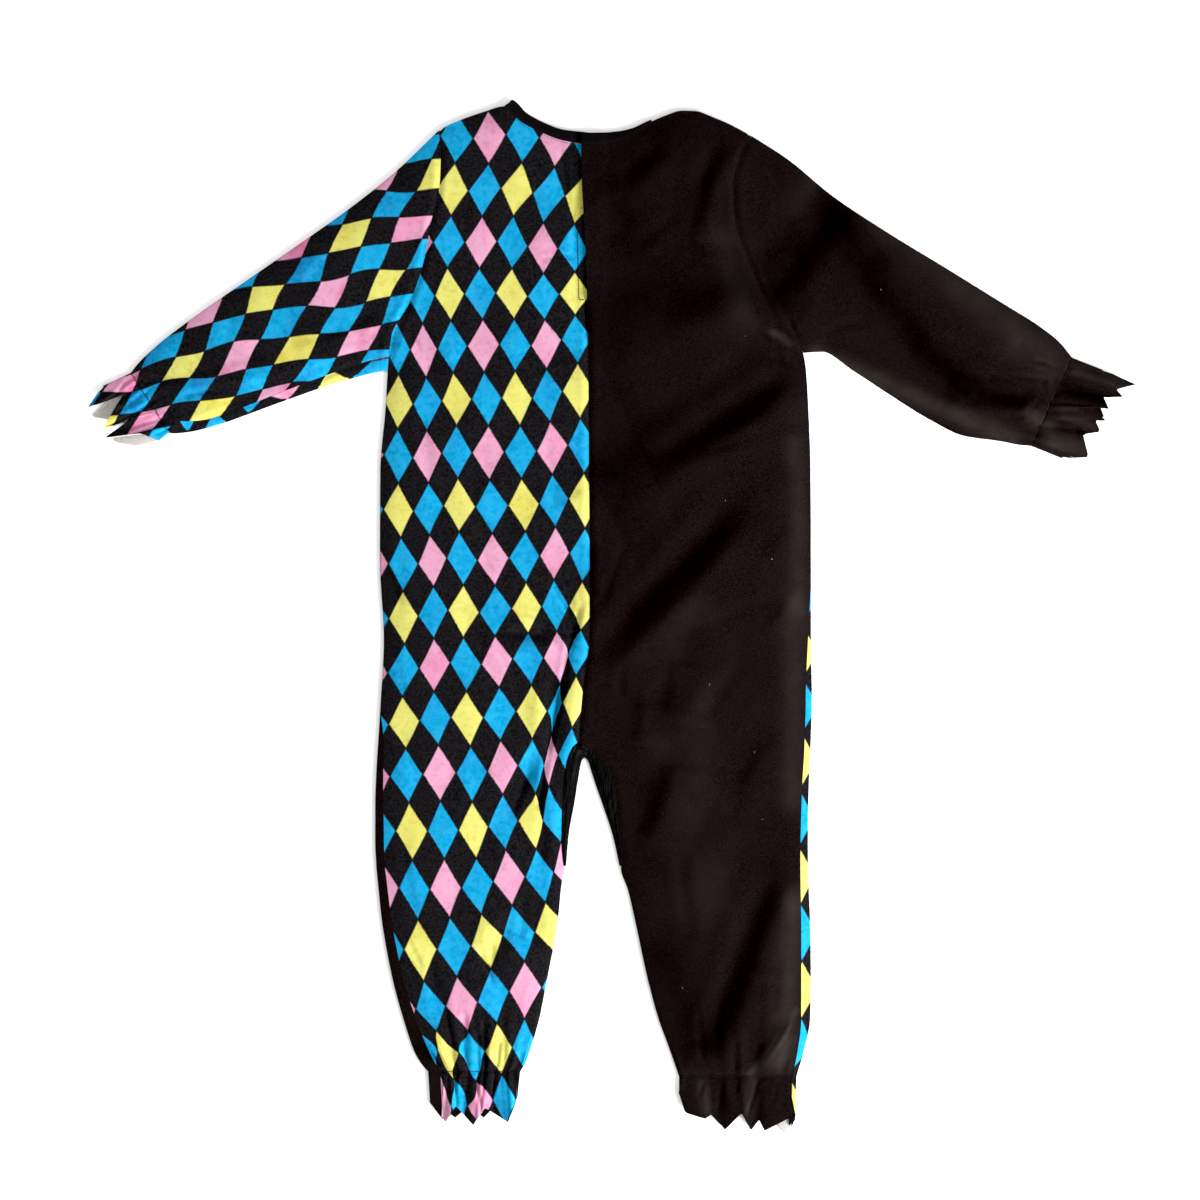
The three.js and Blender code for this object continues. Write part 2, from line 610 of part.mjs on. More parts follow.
function frontColumnsAt(half, row) {
  const inner = acrossBody(half, row, 0, 'front');
  const side = acrossBody(half, row, 1, 'front');
  const width = Math.abs(side.x - inner.x);
  const columns = spreadColumns(frontColumns, frontNeckColumn, half.frontNeckAt,
    endWidth / width, 1 - (foldOut + endWidth + 0.8) / width);
  return { inner, side, columns };
}

function backPanel(half, height) {
  const way = { x: half.toCentre, y: 0 };
  const innerWay = { x: -half.toCentre, y: 0 };
  const rows = bodyRows(half).map((row) => {
    const { inner, side, columns } = backColumns(half, row);
    const roll = half.roll(row.y);
    const under = half === leftHalf ? slitUnderlap * smooth((inner.y - slitEnd - 4) / 12) : 0;
    const places = flatEnd.map((step) => {
      const reach = seamGap / 2 + step;
      return row.kind === 'leg'
        ? onFold(height, inner, innerWay, reach)
        : onUpper(height, inner.x + under - half.toCentre * reach, inner.y);
    });
    const seamX = side.x + half.toCentre * (foldOut + roll - quarterFold + seamGap / 2 + flatEnd.at(-1));
    columns.slice(1, -1).forEach((at, i, { length }) => {
      const place = acrossBody(half, row, at, 'back', (i + 1) / bodyColumns);
      const lift = row.kind === 'leg'
        ? gatherLift(Math.abs(row.y - half.elastic), at, row.ruffle) : 0;
      // no column passes the seam where a ruffle spreads out beyond it
      const inward = row.kind === 'armhole' ? Infinity : (place.x - seamX) * half.toCentre;
      const short = Math.max(0, leastColumn * (length - i) - inward);
      places.push(onUpper(height, place.x + half.toCentre * short, place.y, lift));
    });
    for (const step of [...flatEnd].reverse()) {
      const reach = seamGap / 2 + step;
      places.push(row.kind === 'armhole'
        ? onUpper(height, side.x + half.toCentre * reach, side.y)
        : onFold(height, side, way, roll + reach));
    }
    return places;
  });
  return clothWall(rows);
}

function frontPanel(half, height) {
  const way = { x: half.toCentre, y: 0 };
  const innerWay = { x: -half.toCentre, y: 0 };
  const rows = bodyRows(half).map((row) => {
    const { inner, side, columns } = frontColumnsAt(half, row);
    const roll = half.roll(row.y);
    const places = [0, 1.3].map((step) => {
      const reach = seamGap / 2 + step;
      return row.kind === 'leg'
        ? onFold(height, inner, innerWay, -reach)
        : onLower(inner.x - half.toCentre * reach, inner.y);
    });
    columns.slice(1, -1).forEach((at, i) => {
      const place = acrossBody(half, row, at, 'front', (i + 1) / frontColumns);
      places.push(onLower(place.x, place.y));
    });
    [...frontSide].reverse().forEach((turn, i) => {
      const short = 0.45 * (frontSide.length - i);
      places.push(row.kind === 'armhole'
        ? onLower(side.x + half.toCentre * (seamGap / 2 + short), side.y)
        : onFold(height, side, way, Math.min(turn, roll - seamGap / 2 - short)));
    });
    places.push(row.kind === 'armhole'
      ? onLower(side.x + half.toCentre * seamGap / 2, side.y)
      : onFold(height, side, way, roll - seamGap / 2));
    return places;
  });
  return clothWall(rows);
}

// ---- neck bindings: a flat strip on a panel's neckline, out to its free edge ----
function neckBinding(seam, widthAt, place) {
  const strip = seam.map(({ x, y }, i) => {
    const before = seam[Math.max(i - 1, 0)];
    const after = seam[Math.min(i + 1, seam.length - 1)];
    const length = Math.hypot(after.x - before.x, after.y - before.y);
    const turned = Math.sign(after.x - before.x) / length;
    const outX = i === 0 ? 0 : -(after.y - before.y) * turned;
    const outY = i === 0 ? 1 : (after.x - before.x) * turned;
    return [0, 0.5, 1].map((share) => {
      const out = mix(seamGap + 0.1, widthAt(i), share);
      return place(x + outX * out, y + outY * out);
    });
  });
  return clothWall(strip);
}

function backBinding(half, height) {
  const row = { y: half.shoulder, kind: 'armhole' };
  const { inner, columns } = backColumns(half, row);
  const under = half === leftHalf ? slitUnderlap : 0;
  const seam = [
    { x: inner.x + under - half.toCentre * seamGap / 2, y: inner.y },
    ...columns.slice(1, half.neckColumn + 1).map((at) => acrossBody(half, row, at, 'back')),
  ];
  const widthAt = (i) => half.bindingWidth(columns[i]);
  return neckBinding(seam, widthAt, (x, y) => onUpper(height, x, y));
}

function frontBinding(half) {
  const row = { y: half.shoulder, kind: 'armhole' };
  const { inner, columns } = frontColumnsAt(half, row);
  const seam = [
    { x: inner.x - half.toCentre * seamGap / 2, y: inner.y },
    ...columns.slice(1, frontNeckColumn + 1).map((at) => acrossBody(half, row, at, 'front')),
  ];
  return neckBinding(seam, () => frontBindingWidth, onLower);
}

// ---- sleeves: rings from the armhole seam to the points of the cuff ----
function sleeveTube(arm, height) {
  const rows = arm.sections.map((row, i) => ({ ...row, t: i / (arm.sections.length - 1) }));
  const curve = (value) => curveThrough(rows, 't', value);
  const edges = { upX: curve('upX'), upY: curve('upY'), lowX: curve('lowX'), lowY: curve('lowY') };
  const { half } = arm;
  const armY = (at) => mix(half.shoulder, half.underarm, at);
  const ring = (t, ruffle) => {
    const bend = (1 - t) ** 2;
    const place = (at, hem, column = at) => {
      const straightX = mix(edges.upX(t), edges.lowX(t), at);
      const straightY = mix(edges.upY(t), edges.lowY(t), at);
      const seam = half.side(armY(at)) - half.toCentre * (seamGap + 0.15);
      const x = straightX + bend * (seam - mix(edges.upX(0), edges.lowX(0), at));
      if (!ruffle) return { x, y: straightY };
      return {
        x: mix(x, lineThrough(hem, 'at', 'x')(column), ruffle),
        y: mix(straightY, lineThrough(hem, 'at', 'y')(column), ruffle),
      };
    };
    const distance = (1 - t) * 300;
    const lift = (at) => (t > 0.6 ? gatherLift(distance, at, ruffle) : 0);
    const top = place(0, arm.hem);
    const bottom = place(1, arm.hem);
    const length = Math.hypot(bottom.x - top.x, bottom.y - top.y);
    const down = { x: (bottom.x - top.x) / length, y: (bottom.y - top.y) / length };
    const up = { x: -down.x, y: -down.y };
    const inset = (at) => mix((foldOut + 1.5) / length, 1 - (foldOut + 1.5) / length, at);
    const steps = Array.from({ length: sleeveColumns + 1 }, (_, i) => i / sleeveColumns);
    const middle = steps.slice(1, -1);
    return [
      onFold(height, top, down, 0),
      onFold(height, top, down, quarterFold),
      ...middle.map((at) => {
        const { x, y } = place(inset(at), arm.hem, at);
        return onUpper(height, x, y, lift(at));
      }),
      onFold(height, bottom, up, quarterFold),
      onFold(height, bottom, up, 0),
      onFold(height, bottom, up, -quarterFold),
      ...middle.reverse().map((at) => {
        const { x, y } = place(inset(at), arm.underHem, at);
        return onLower(x, y);
      }),
      onFold(height, top, down, -quarterFold),
    ];
  };
  const stations = Array.from({ length: sleeveSteps + 1 }, (_, i) => ring(i / sleeveSteps, 0));
  [0.35, 0.7, 1].forEach((ruffle) => stations.push(ring(1, ruffle)));
  return clothWall(stations, true);
}

// ---- gusset: an arch between the legs, folded along its free edge ----
function crotchGusset(height) {
  const levels = [...crotchSteps.map((step) => crotchHeight - step), gussetEnd + 0.6];
  const section = (half, row, y) => {
    const seamX = half.inner(y) + half.toCentre * (seamGap / 2 + 0.15);
    const length = Math.hypot(seamX - row.x, y - row.y);
    const way = { x: (seamX - row.x) / length, y: (y - row.y) / length };
    const start = length - foldOut + quarterFold;
    const shares = [1, 0.5, 0];
    return [
      ...shares.map((share) => onFold(height, row, way, mix(quarterFold, start, share))),
      onFold(height, row, way, 0),
      ...[...shares].reverse().map((share) => (
        onFold(height, row, way, -mix(quarterFold, start, share)))),
    ];
  };
  const crown = {
    ...gussetEdge.left[0],
  };
  const crownY = crotchHeight - seamGap - 0.15;
  const crownHalf = { inner: () => rightHalf.inner(crotchHeight), toCentre: 0 };
  const leftArm = levels.slice(1).map((y, i) => section(leftHalf, gussetEdge.left[i + 1], y));
  const rightArm = levels.slice(1).map((y, i) => section(rightHalf, gussetEdge.right[i + 1], y));
  return clothWall([...leftArm.reverse(), section(crownHalf, crown, crownY), ...rightArm]);
}

// ---- the garment ----
function piece(name, geometry, finish) {
  const mesh = new THREE.Mesh(geometry, new THREE.MeshStandardMaterial({ metalness: 0, ...finish }));
  mesh.name = name;
  return mesh;
}

const costume = new THREE.Group();
costume.position.set(-middleX, -middleY, 0);
costume.add(
  piece('back_left', backPanel(leftHalf, leftHeight), colours.print),
  piece('back_right', backPanel(rightHalf, rightHeight), colours.black),
  piece('front_left', frontPanel(leftHalf, upperHeight), colours.black),
  piece('front_right', frontPanel(rightHalf, upperHeight), colours.print),
  piece('sleeve_left', sleeveTube(leftSleeve, upperHeight), colours.print),
  piece('sleeve_right', sleeveTube(rightSleeve, upperHeight), colours.black),
  piece('neck_binding_back_left', backBinding(leftHalf, leftHeight), colours.satin),
  piece('neck_binding_back_right', backBinding(rightHalf, rightHeight), colours.satin),
  piece('neck_binding_front_left', frontBinding(leftHalf), colours.satin),
  piece('neck_binding_front_right', frontBinding(rightHalf), colours.satin),
  piece('crotch_gusset', crotchGusset(upperHeight), colours.satin),
);

export default costume;
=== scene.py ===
import math

import bpy
import numpy as np
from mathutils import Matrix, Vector
from mathutils.bvhtree import BVHTree


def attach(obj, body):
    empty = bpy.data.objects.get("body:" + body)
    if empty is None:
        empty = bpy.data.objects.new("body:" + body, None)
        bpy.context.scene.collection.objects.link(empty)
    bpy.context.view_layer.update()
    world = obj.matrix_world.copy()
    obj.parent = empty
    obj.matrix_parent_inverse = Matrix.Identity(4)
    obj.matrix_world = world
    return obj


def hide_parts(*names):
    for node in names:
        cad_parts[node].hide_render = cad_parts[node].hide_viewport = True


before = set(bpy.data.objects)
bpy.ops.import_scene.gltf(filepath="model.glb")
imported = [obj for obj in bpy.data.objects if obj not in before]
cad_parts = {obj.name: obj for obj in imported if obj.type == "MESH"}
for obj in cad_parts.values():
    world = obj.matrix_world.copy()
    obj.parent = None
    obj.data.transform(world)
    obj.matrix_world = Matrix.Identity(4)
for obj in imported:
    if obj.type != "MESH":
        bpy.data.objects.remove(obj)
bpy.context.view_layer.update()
print("frame loaded:", sorted(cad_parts))

# the cloth is worked out in millimetres and its meshes are made in metres
mm = 0.001
middle = (0.75, 0.76)          # the laid-out garment's middle, which is the frame's origin

cloth = {
    "thickness": 1.0,
    "seamGap": 0.1,
    "floorGap": 0.02,
    "sharpFrom": 62,           # angle between faces that shows as an edge
    "loft": 3.6,               # rise of the upper layer inside its edges
    "loftReach": 15,
    "slowRipple": 0.45,
    "quickRipple": 0.12,
    "lowerMid": 0.5,           # height of the lower layer's middle
    "upperMid": 2.4,           # height of the upper layer's middle at an edge
    "crotch": -111.7,
    "gussetEnd": -222,
    "blendDepth": 120,         # how far the neckline's curve is felt down the body
}
foldMid = (cloth["upperMid"] - cloth["lowerMid"]) / 2
foldCentre = (cloth["upperMid"] + cloth["lowerMid"]) / 2
foldOut = foldMid + cloth["thickness"] / 2
quarterFold = foldMid * math.pi / 2
crotchSteps = [0, 4.3, 11.3, 21.5, 36, 56, 82, 110.3]     # below the crotch, where the gusset has rows
slit = {"end": 279, "underlap": 6, "step": 0.95, "width": 20, "place": -20, "rise": 44}


def mix(a, b, t):
    return a + (b - a) * t


def smooth(v):
    v = np.clip(v, 0, 1)
    return v * v * (3 - 2 * v)


# camera, light and floor

# what the frame takes in, mm
view = {"across": 1068, "height": 3200, "x": -9.3, "y": 14.7, "sensor": 36}
studio = {
    "keyLight": {"place": (3.5, -2.7, 1.4), "size": 2.1, "power": 960},
    "fillLight": {"place": (-2.2, 1.8, 2.4), "size": 2.0, "power": 28},
    "world": 0.78,
    "deepest": (0.0035, 0.0037, 0.0037),   # light that the tone counts as black
    "floorSize": 14,
    "floorShade": 0.96,
}


def makeCamera():
    camera = bpy.data.cameras.new("camera")
    camera.type = "PERSP"
    camera.sensor_width = view["sensor"]
    camera.lens = view["sensor"] / 2 * view["height"] / (view["across"] / 2)
    camera.clip_end = 20
    held = bpy.data.objects.new("camera", camera)
    held.location = [(view["x"] - middle[0]) * mm, (view["y"] - middle[1]) * mm, view["height"] * mm]
    bpy.context.scene.collection.objects.link(held)
    bpy.context.scene.camera = held


def areaLight(name):
    light = bpy.data.lights.new(name, "AREA")
    light.shape = "SQUARE"
    light.size = studio[name]["size"]
    light.energy = studio[name]["power"]
    held = bpy.data.objects.new(name, light)
    held.location = studio[name]["place"]
    held.rotation_euler = (-Vector(studio[name]["place"])).to_track_quat("-Z", "Y").to_euler()
    bpy.context.scene.collection.objects.link(held)


def makeLight():
    areaLight("keyLight")
    areaLight("fillLight")
    world = bpy.data.worlds.new("studio")
    world.use_nodes = True
    shade = world.node_tree.nodes["Background"]
    shade.inputs["Color"].default_value = (1, 1, 1, 1)
    shade.inputs["Strength"].default_value = studio["world"]
    bpy.context.scene.world = world


def makePrintTone():
    # a studio print's deep blacks
    tone = bpy.context.scene.view_settings
    tone.view_transform = "Standard"
    tone.look = "None"
    tone.use_curve_mapping = True
    tone.curve_mapping.black_level = studio["deepest"]
    tone.curve_mapping.update()


def makeFloor():
    size, shade = studio["floorSize"], studio["floorShade"]
    mesh = bpy.data.meshes.new("floor")
    corners = [(-size, -size, 0), (size, -size, 0), (size, size, 0), (-size, size, 0)]
    mesh.from_pydata(corners, [], [(0, 1, 2, 3)])
    floor = bpy.data.objects.new("floor", mesh)
    bpy.context.scene.collection.objects.link(floor)
    paint = bpy.data.materials.new("paleFloor")
    paint.use_nodes = True
    shader = paint.node_tree.nodes["Principled BSDF"]
    shader.inputs["Base Color"].default_value = (shade, shade, shade, 1)
    shader.inputs["Roughness"].default_value = 0.9
    shader.inputs["Specular IOR Level"].default_value = 0.1
    mesh.materials.append(paint)


makeCamera()
makeLight()
makePrintTone()
makeFloor()
print("camera, light and floor are made")

# finishes


class Nodes:
    # a short way to write a material's nodes

    def __init__(self, name):
        self.material = bpy.data.materials.new(name)
        self.material.use_nodes = True
        self.tree = self.material.node_tree
        self.shader = self.tree.nodes["Principled BSDF"]

    def add(self, kind, **inputs):
        node = self.tree.nodes.new(kind)
        for socket, value in inputs.items():
            self.put(node.inputs[socket.replace("_", " ")], value)
        return node

    def put(self, socket, value):
        if isinstance(value, bpy.types.NodeSocket):
            self.tree.links.new(value, socket)
        elif isinstance(value, tuple) and len(value) == 3 and socket.type == "RGBA":
            socket.default_value = (*value, 1)
        else:
            socket.default_value = value

    def sum(self, operation, a, b=0.0, c=0.0):
        node = self.tree.nodes.new("ShaderNodeMath")
        node.operation = operation
        for socket, value in zip(node.inputs, (a, b, c)):
            self.put(socket, value)
        return node.outputs[0]

    def blend(self, share, a, b):
        node = self.tree.nodes.new("ShaderNodeMix")
        node.data_type = "RGBA"
        self.put(node.inputs["Factor"], share)
        self.put(node.inputs["A"], a)
        self.put(node.inputs["B"], b)
        return node.outputs["Result"]

    def ramp(self, value, low, high, bottom=0.0, top=1.0):
        node = self.tree.nodes.new("ShaderNodeMapRange")
        for socket, number in zip(node.inputs, (value, low, high, bottom, top)):
            self.put(socket, number)
        return node.outputs[0]

    def noise(self, scale, detail=2.0, roughness=0.5, stretch=(1, 1, 1)):
        place = self.add("ShaderNodeTexCoord").outputs["Object"]
        scaled = self.add("ShaderNodeMapping", Vector=place)
        scaled.inputs["Scale"].default_value = stretch
        return self.add("ShaderNodeTexNoise", Vector=scaled.outputs[0], Scale=scale, Detail=detail,
                        Roughness=roughness).outputs["Fac"]

    def paintedShadeAndLight(self):
        # painted light (above 0) and painted shade (below 0) along folds and creases, read from the
        # cloth's own points
        node = self.tree.nodes.new("ShaderNodeAttribute")
        node.attribute_name = "foldShadeAndLight"
        return node.outputs["Fac"]

    def bump(self, heights, strength, distance):
        made = self.add("ShaderNodeBump", Height=heights, Strength=strength, Distance=distance)
        self.put(self.shader.inputs["Normal"], made.outputs[0])


dyeShare = 0.72                # how much of a dye's colour the cloth holds


def srgb(red, green, blue):
    # a colour from its 0 to 255 values, as the shader wants it
    parts = [c / 255 for c in (red, green, blue)]
    light = [c / 12.92 if c <= 0.04045 else ((c + 0.055) / 1.055) ** 2.4 for c in parts]
    return tuple(dyeShare * c for c in light)


napGrain = {"fibre": 2300, "tuft": 520, "depth": 0.0005}    # noise scales, and the bump's height in m


def brushedNap(nodes, strength):
    # short brushed fibres over a fine knit
    fibre = nodes.noise(napGrain["fibre"], 3, 0.6, (1, 0.55, 1))
    tuft = nodes.noise(napGrain["tuft"], 2, 0.5)
    height = nodes.sum("MULTIPLY_ADD", tuft, 0.5, fibre)
    nodes.bump(height, strength, napGrain["depth"])
    return fibre, tuft


printFinish = {
    "blue": (srgb(10, 152, 203), srgb(6, 112, 172)),       # each dye, and a deeper tone of it, painted as shade in patches
    "pink": (srgb(213, 150, 178), srgb(203, 96, 142)),
    "yellow": (srgb(212, 206, 104), srgb(200, 186, 66)),
    "black": srgb(9, 8, 9),
    "greyed": srgb(29, 28, 30),
    "fibre": srgb(46, 45, 48),
    "paintedCreaseShade": srgb(3, 3, 4),
    "rubbed": (0.25, 0.5, 0.58),
    "half": 0.474,             # half a diamond, in cells
    "edge": 0.045,             # softness of a diamond's edge, in cells
    "sleeve": (-0.17, -0.26),  # x where the deeper tones grow towards the sleeve, m
    "wobble": 420,             # noise scales: of the diamonds' edges, the deeper tones, the shade
    "patches": 30,             # and the mottle
    "shade": 60,
    "mottle": 230,
    "napBump": 0.45,
}


def printCloth():
    n = Nodes("harlequinPrint")
    uv = n.add("ShaderNodeUVMap")
    uv.uv_map = "clothMap"
    wobble = n.noise(printFinish["wobble"], 2, 0.5)
    split = n.add("ShaderNodeSeparateXYZ", Vector=uv.outputs[0])
    u = n.sum("MULTIPLY_ADD", n.sum("SUBTRACT", wobble, 0.5), 0.03, split.outputs[0])
    v = n.sum("MULTIPLY_ADD", n.sum("SUBTRACT", wobble, 0.5), -0.02, split.outputs[1])
    cellU, cellV = n.sum("ROUND", u), n.sum("ROUND", v)
    offU = n.sum("ABSOLUTE", n.sum("SUBTRACT", u, cellU))
    offV = n.sum("ABSOLUTE", n.sum("SUBTRACT", v, cellV))
    away = n.sum("ADD", offU, offV)
    half, edge = printFinish["half"], printFinish["edge"]
    inside = n.ramp(away, half - edge / 2, half + edge / 2, 1.0, 0.0)
    odd = n.sum("ABSOLUTE", n.sum("MODULO", n.sum("ADD", cellU, cellV), 2.0))
    oddRow = n.sum("ABSOLUTE", n.sum("MODULO", cellV, 2.0))
    blue, pink, yellow = (printFinish[name] for name in ("blue", "pink", "yellow"))
    plain, deep = (n.blend(odd, blue[i], n.blend(oddRow, pink[i], yellow[i])) for i in (0, 1))
    side = n.add("ShaderNodeSeparateXYZ", Vector=n.add("ShaderNodeTexCoord").outputs["Object"])
    onSleeve = n.ramp(side.outputs[0], *printFinish["sleeve"], 0.5, 1.0)
    # patches of painted shade: the dye turns to its deeper tone here, more towards the sleeve
    shadePatches = n.ramp(n.noise(printFinish["patches"], 4, 0.6, (1, 0.6, 1)), 0.47, 0.68, 0.0, 0.9)
    dye = n.blend(n.sum("MULTIPLY", shadePatches, onSleeve), plain, deep)
    fibre, tuft = brushedNap(n, printFinish["napBump"])
    patch = n.noise(printFinish["shade"], 2, 0.5)
    worn = n.sum("MULTIPLY", n.ramp(fibre, 0.35, 0.75, 0.0, 0.25), n.ramp(tuft, 0.3, 0.7, 0.5, 1.0))
    mottle = n.noise(printFinish["mottle"], 3, 0.65)
    rubbed = n.sum("ADD", worn, n.ramp(mottle, 0.42, 0.7, 0.0, 0.5))
    paler = n.blend(rubbed, dye, n.blend(0.12, dye, printFinish["rubbed"]))
    shade = n.sum("ADD", n.ramp(patch, 0.35, 0.7, 0.0, 0.16), n.ramp(mottle, 0.48, 0.3, 0.0, 0.3))
    deeper = n.blend(shade, paler, n.blend(0.55, dye, (0, 0, 0)))
    # painted shade in folds and creases: the dyes and the black print go darker where the strokes are
    # below 0
    paintedShading = n.paintedShadeAndLight()
    dyeInPaintedShade = n.blend(0.7, dye, (0, 0, 0))
    deeper = n.blend(n.ramp(paintedShading, 0.0, -1.0, 0.0, 0.5), deeper, dyeInPaintedShade)
    grey = n.blend(n.ramp(tuft, 0.34, 0.66), printFinish["black"], printFinish["greyed"])
    dark = n.blend(n.ramp(fibre, 0.45, 0.8, 0.0, 0.35), grey, printFinish["fibre"])
    dark = n.blend(n.ramp(paintedShading, 0.0, -1.0, 0.0, 0.8), dark, printFinish["paintedCreaseShade"])
    n.put(n.shader.inputs["Base Color"], n.blend(inside, dark, deeper))
    n.put(n.shader.inputs["Roughness"], n.ramp(fibre, 0.3, 0.8, 0.75, 0.95))
    n.shader.inputs["Specular IOR Level"].default_value = 0.012
    n.shader.inputs["Sheen Weight"].default_value = 0.01
    n.shader.inputs["Sheen Roughness"].default_value = 0.45
    return n.material


reverseTones = (srgb(205, 200, 194), srgb(150, 146, 142))


def printReverse():
    n = Nodes("printReverse")
    tuft = brushedNap(n, 0.5)[1]
    worn = n.blend(n.ramp(tuft, 0.3, 0.7, 0.0, 0.5), *reverseTones)
    n.put(n.shader.inputs["Base Color"], worn)
    n.shader.inputs["Roughness"].default_value = 0.85
    return n.material


blackFinish = {
    "ruddy": (srgb(10, 6, 7), srgb(17, 11, 12)),           # darker and lighter patches
    "olive": (srgb(10, 9, 8), srgb(16, 15, 13)),
    "grain": srgb(31, 23, 23),
    "fibre": srgb(42, 33, 32),
    # tones of the painted shade and the painted light
    "paintedShadeTone": srgb(3, 2, 2),
    "paintedLightTone": srgb(55, 50, 46),
    "legs": (0.0, -0.25),      # y where the cloth turns olive down the legs, m
    "patches": 22,             # noise scales: of the lighter patches, the olive ones, the grain and the ragged edges of the painted shade and light
    "hues": 11,                # and the ragged edges of the brushed places
    "grains": 760,
    "ragged": 48,
    "napBump": 0.6,
}


def blackCloth():
    n = Nodes("blackCloth")
    fibre, tuft = brushedNap(n, blackFinish["napBump"])
    patch, hue = n.noise(blackFinish["patches"], 3, 0.55), n.noise(blackFinish["hues"], 3, 0.6)
    ruddy = n.blend(n.ramp(patch, 0.3, 0.7), *blackFinish["ruddy"])
    olive = n.blend(n.ramp(patch, 0.3, 0.7), *blackFinish["olive"])
    place = n.add("ShaderNodeSeparateXYZ", Vector=n.add("ShaderNodeTexCoord").outputs["Object"])
    lowOlive = n.ramp(place.outputs[1], *blackFinish["legs"], 0.0, 0.8)
    oliveShare = n.sum("MAXIMUM", n.ramp(hue, 0.45, 0.62, 0.0, 0.8), lowOlive)
    base = n.blend(oliveShare, ruddy, olive)
    grain = n.noise(blackFinish["grains"], 2, 0.6, (1, 1.5, 1))
    worn = n.blend(n.ramp(grain, 0.42, 0.66), base, blackFinish["grain"])
    lit = n.blend(n.ramp(fibre, 0.55, 0.85, 0.0, 0.5), worn, blackFinish["fibre"])
    # painted shade and painted light along folds, flanks and creases, with ragged edges
    rough = n.ramp(n.noise(blackFinish["ragged"], 3, 0.6), 0.3, 0.7, 0.7, 1.3)
    ragged = n.sum("MULTIPLY", n.paintedShadeAndLight(), rough)
    withPaintedShade = n.blend(n.ramp(ragged, 0.0, -1.0, 0.0, 0.75), lit, blackFinish["paintedShadeTone"])
    withPaintedLight = n.blend(n.ramp(ragged, 0.0, 1.0, 0.0, 0.6), withPaintedShade, blackFinish["paintedLightTone"])
    n.put(n.shader.inputs["Base Color"], withPaintedLight)
    n.put(n.shader.inputs["Roughness"], n.ramp(tuft, 0.3, 0.7, 0.88, 0.98))
    n.shader.inputs["Specular IOR Level"].default_value = 0.006
    n.shader.inputs["Sheen Weight"].default_value = 0.012
    n.shader.inputs["Sheen Roughness"].default_value = 0.4
    n.shader.inputs["Sheen Tint"].default_value = (1.0, 0.82, 0.78, 1)
    return n.material


def blackJersey(name, tone, roughness, gloss, rib=0.0):
    n = Nodes(name)
    tuft = brushedNap(n, 0.35)[1]
    if rib:
        # lengthwise ribs of a gathered satin band
        n.bump(n.noise(420, 3, 0.6, (1, 0.14, 1)), rib, 0.003)
    lighter = tuple(c * 1.5 for c in tone)
    n.put(n.shader.inputs["Base Color"], n.blend(n.ramp(tuft, 0.3, 0.7), tone, lighter))
    n.shader.inputs["Roughness"].default_value = roughness
    n.shader.inputs["Specular IOR Level"].default_value = gloss
    return n.material


def threadFinish(name, tone):
    n = Nodes(name)
    n.bump(n.noise(5200, 1, 0.5), 0.4, 0.0002)
    n.put(n.shader.inputs["Base Color"], n.blend(n.noise(900), tone, tuple(c * 1.6 for c in tone)))
    n.shader.inputs["Roughness"].default_value = 0.8
    n.shader.inputs["Specular IOR Level"].default_value = 0.1
    return n.material


finishes = {
    "print": printCloth(),
    "reverse": printReverse(),
    "black": blackCloth(),
    "binding": blackJersey("blackBinding", srgb(14, 12, 13), 0.8, 0.02),
    "satin": blackJersey("blackSatin", srgb(6, 6, 6), 0.45, 0.03, 1.0),
    "thread": threadFinish("blackThread", srgb(7, 6, 7)),
    "lint": threadFinish("paleLint", srgb(170, 165, 160)),
}
print("finishes are made")

# reading tables


def curveThrough(points):
    # a curve through (at, value) rows that never runs past them between two rows
    rows = sorted(points)
    at = np.array([row[0] for row in rows], float)
    value = np.array([row[1] for row in rows], float)
    rise = np.diff(value) / np.diff(at)
    slope = np.zeros(len(at))
    slope[0], slope[-1] = rise[0], rise[-1]
    product, total = rise[:-1] * rise[1:], rise[:-1] + rise[1:]
    slope[1:-1] = np.where(product > 0, 2 * product / np.where(total == 0, 1, total), 0)

    def read(place):
        place = np.clip(np.asarray(place, float), at[0], at[-1])
        i = np.clip(np.searchsorted(at, place, side="right") - 1, 0, len(at) - 2)
        span = at[i + 1] - at[i]
        t = (place - at[i]) / span
        start = value[i] * (1 + 2 * t) * (1 - t) ** 2 + slope[i] * span * t * (1 - t) ** 2
        end = value[i + 1] * t * t * (3 - 2 * t) + slope[i + 1] * span * t * t * (t - 1)
        return start + end

    return read


def lineThrough(points):
    # straight lines between (at, value) rows, for hems with points
    at, value = zip(*points)
    return lambda place: np.interp(place, at, value)


# the two halves of the body
# sections: height, side outline or armhole seam, turned-over width, inner leg or gusset seam
# neck: x, height and the binding's width.  shoulder: x and height of its outline
# hem and underHem: share across, x and height of the ruffle's points

centreSeam = [(432, -26.2), (406.3, -26), (384, -25.4), (352.9, -23.6), (317.3, -21.8),
              (279, -20.9), (219.4, -19.6), (130.4, -19.1), (50.3, -18.5), (-20.9, -18.7),
              (-42.3, -21.8), (-74.3, -25.4), (-111.7, -28.6)]

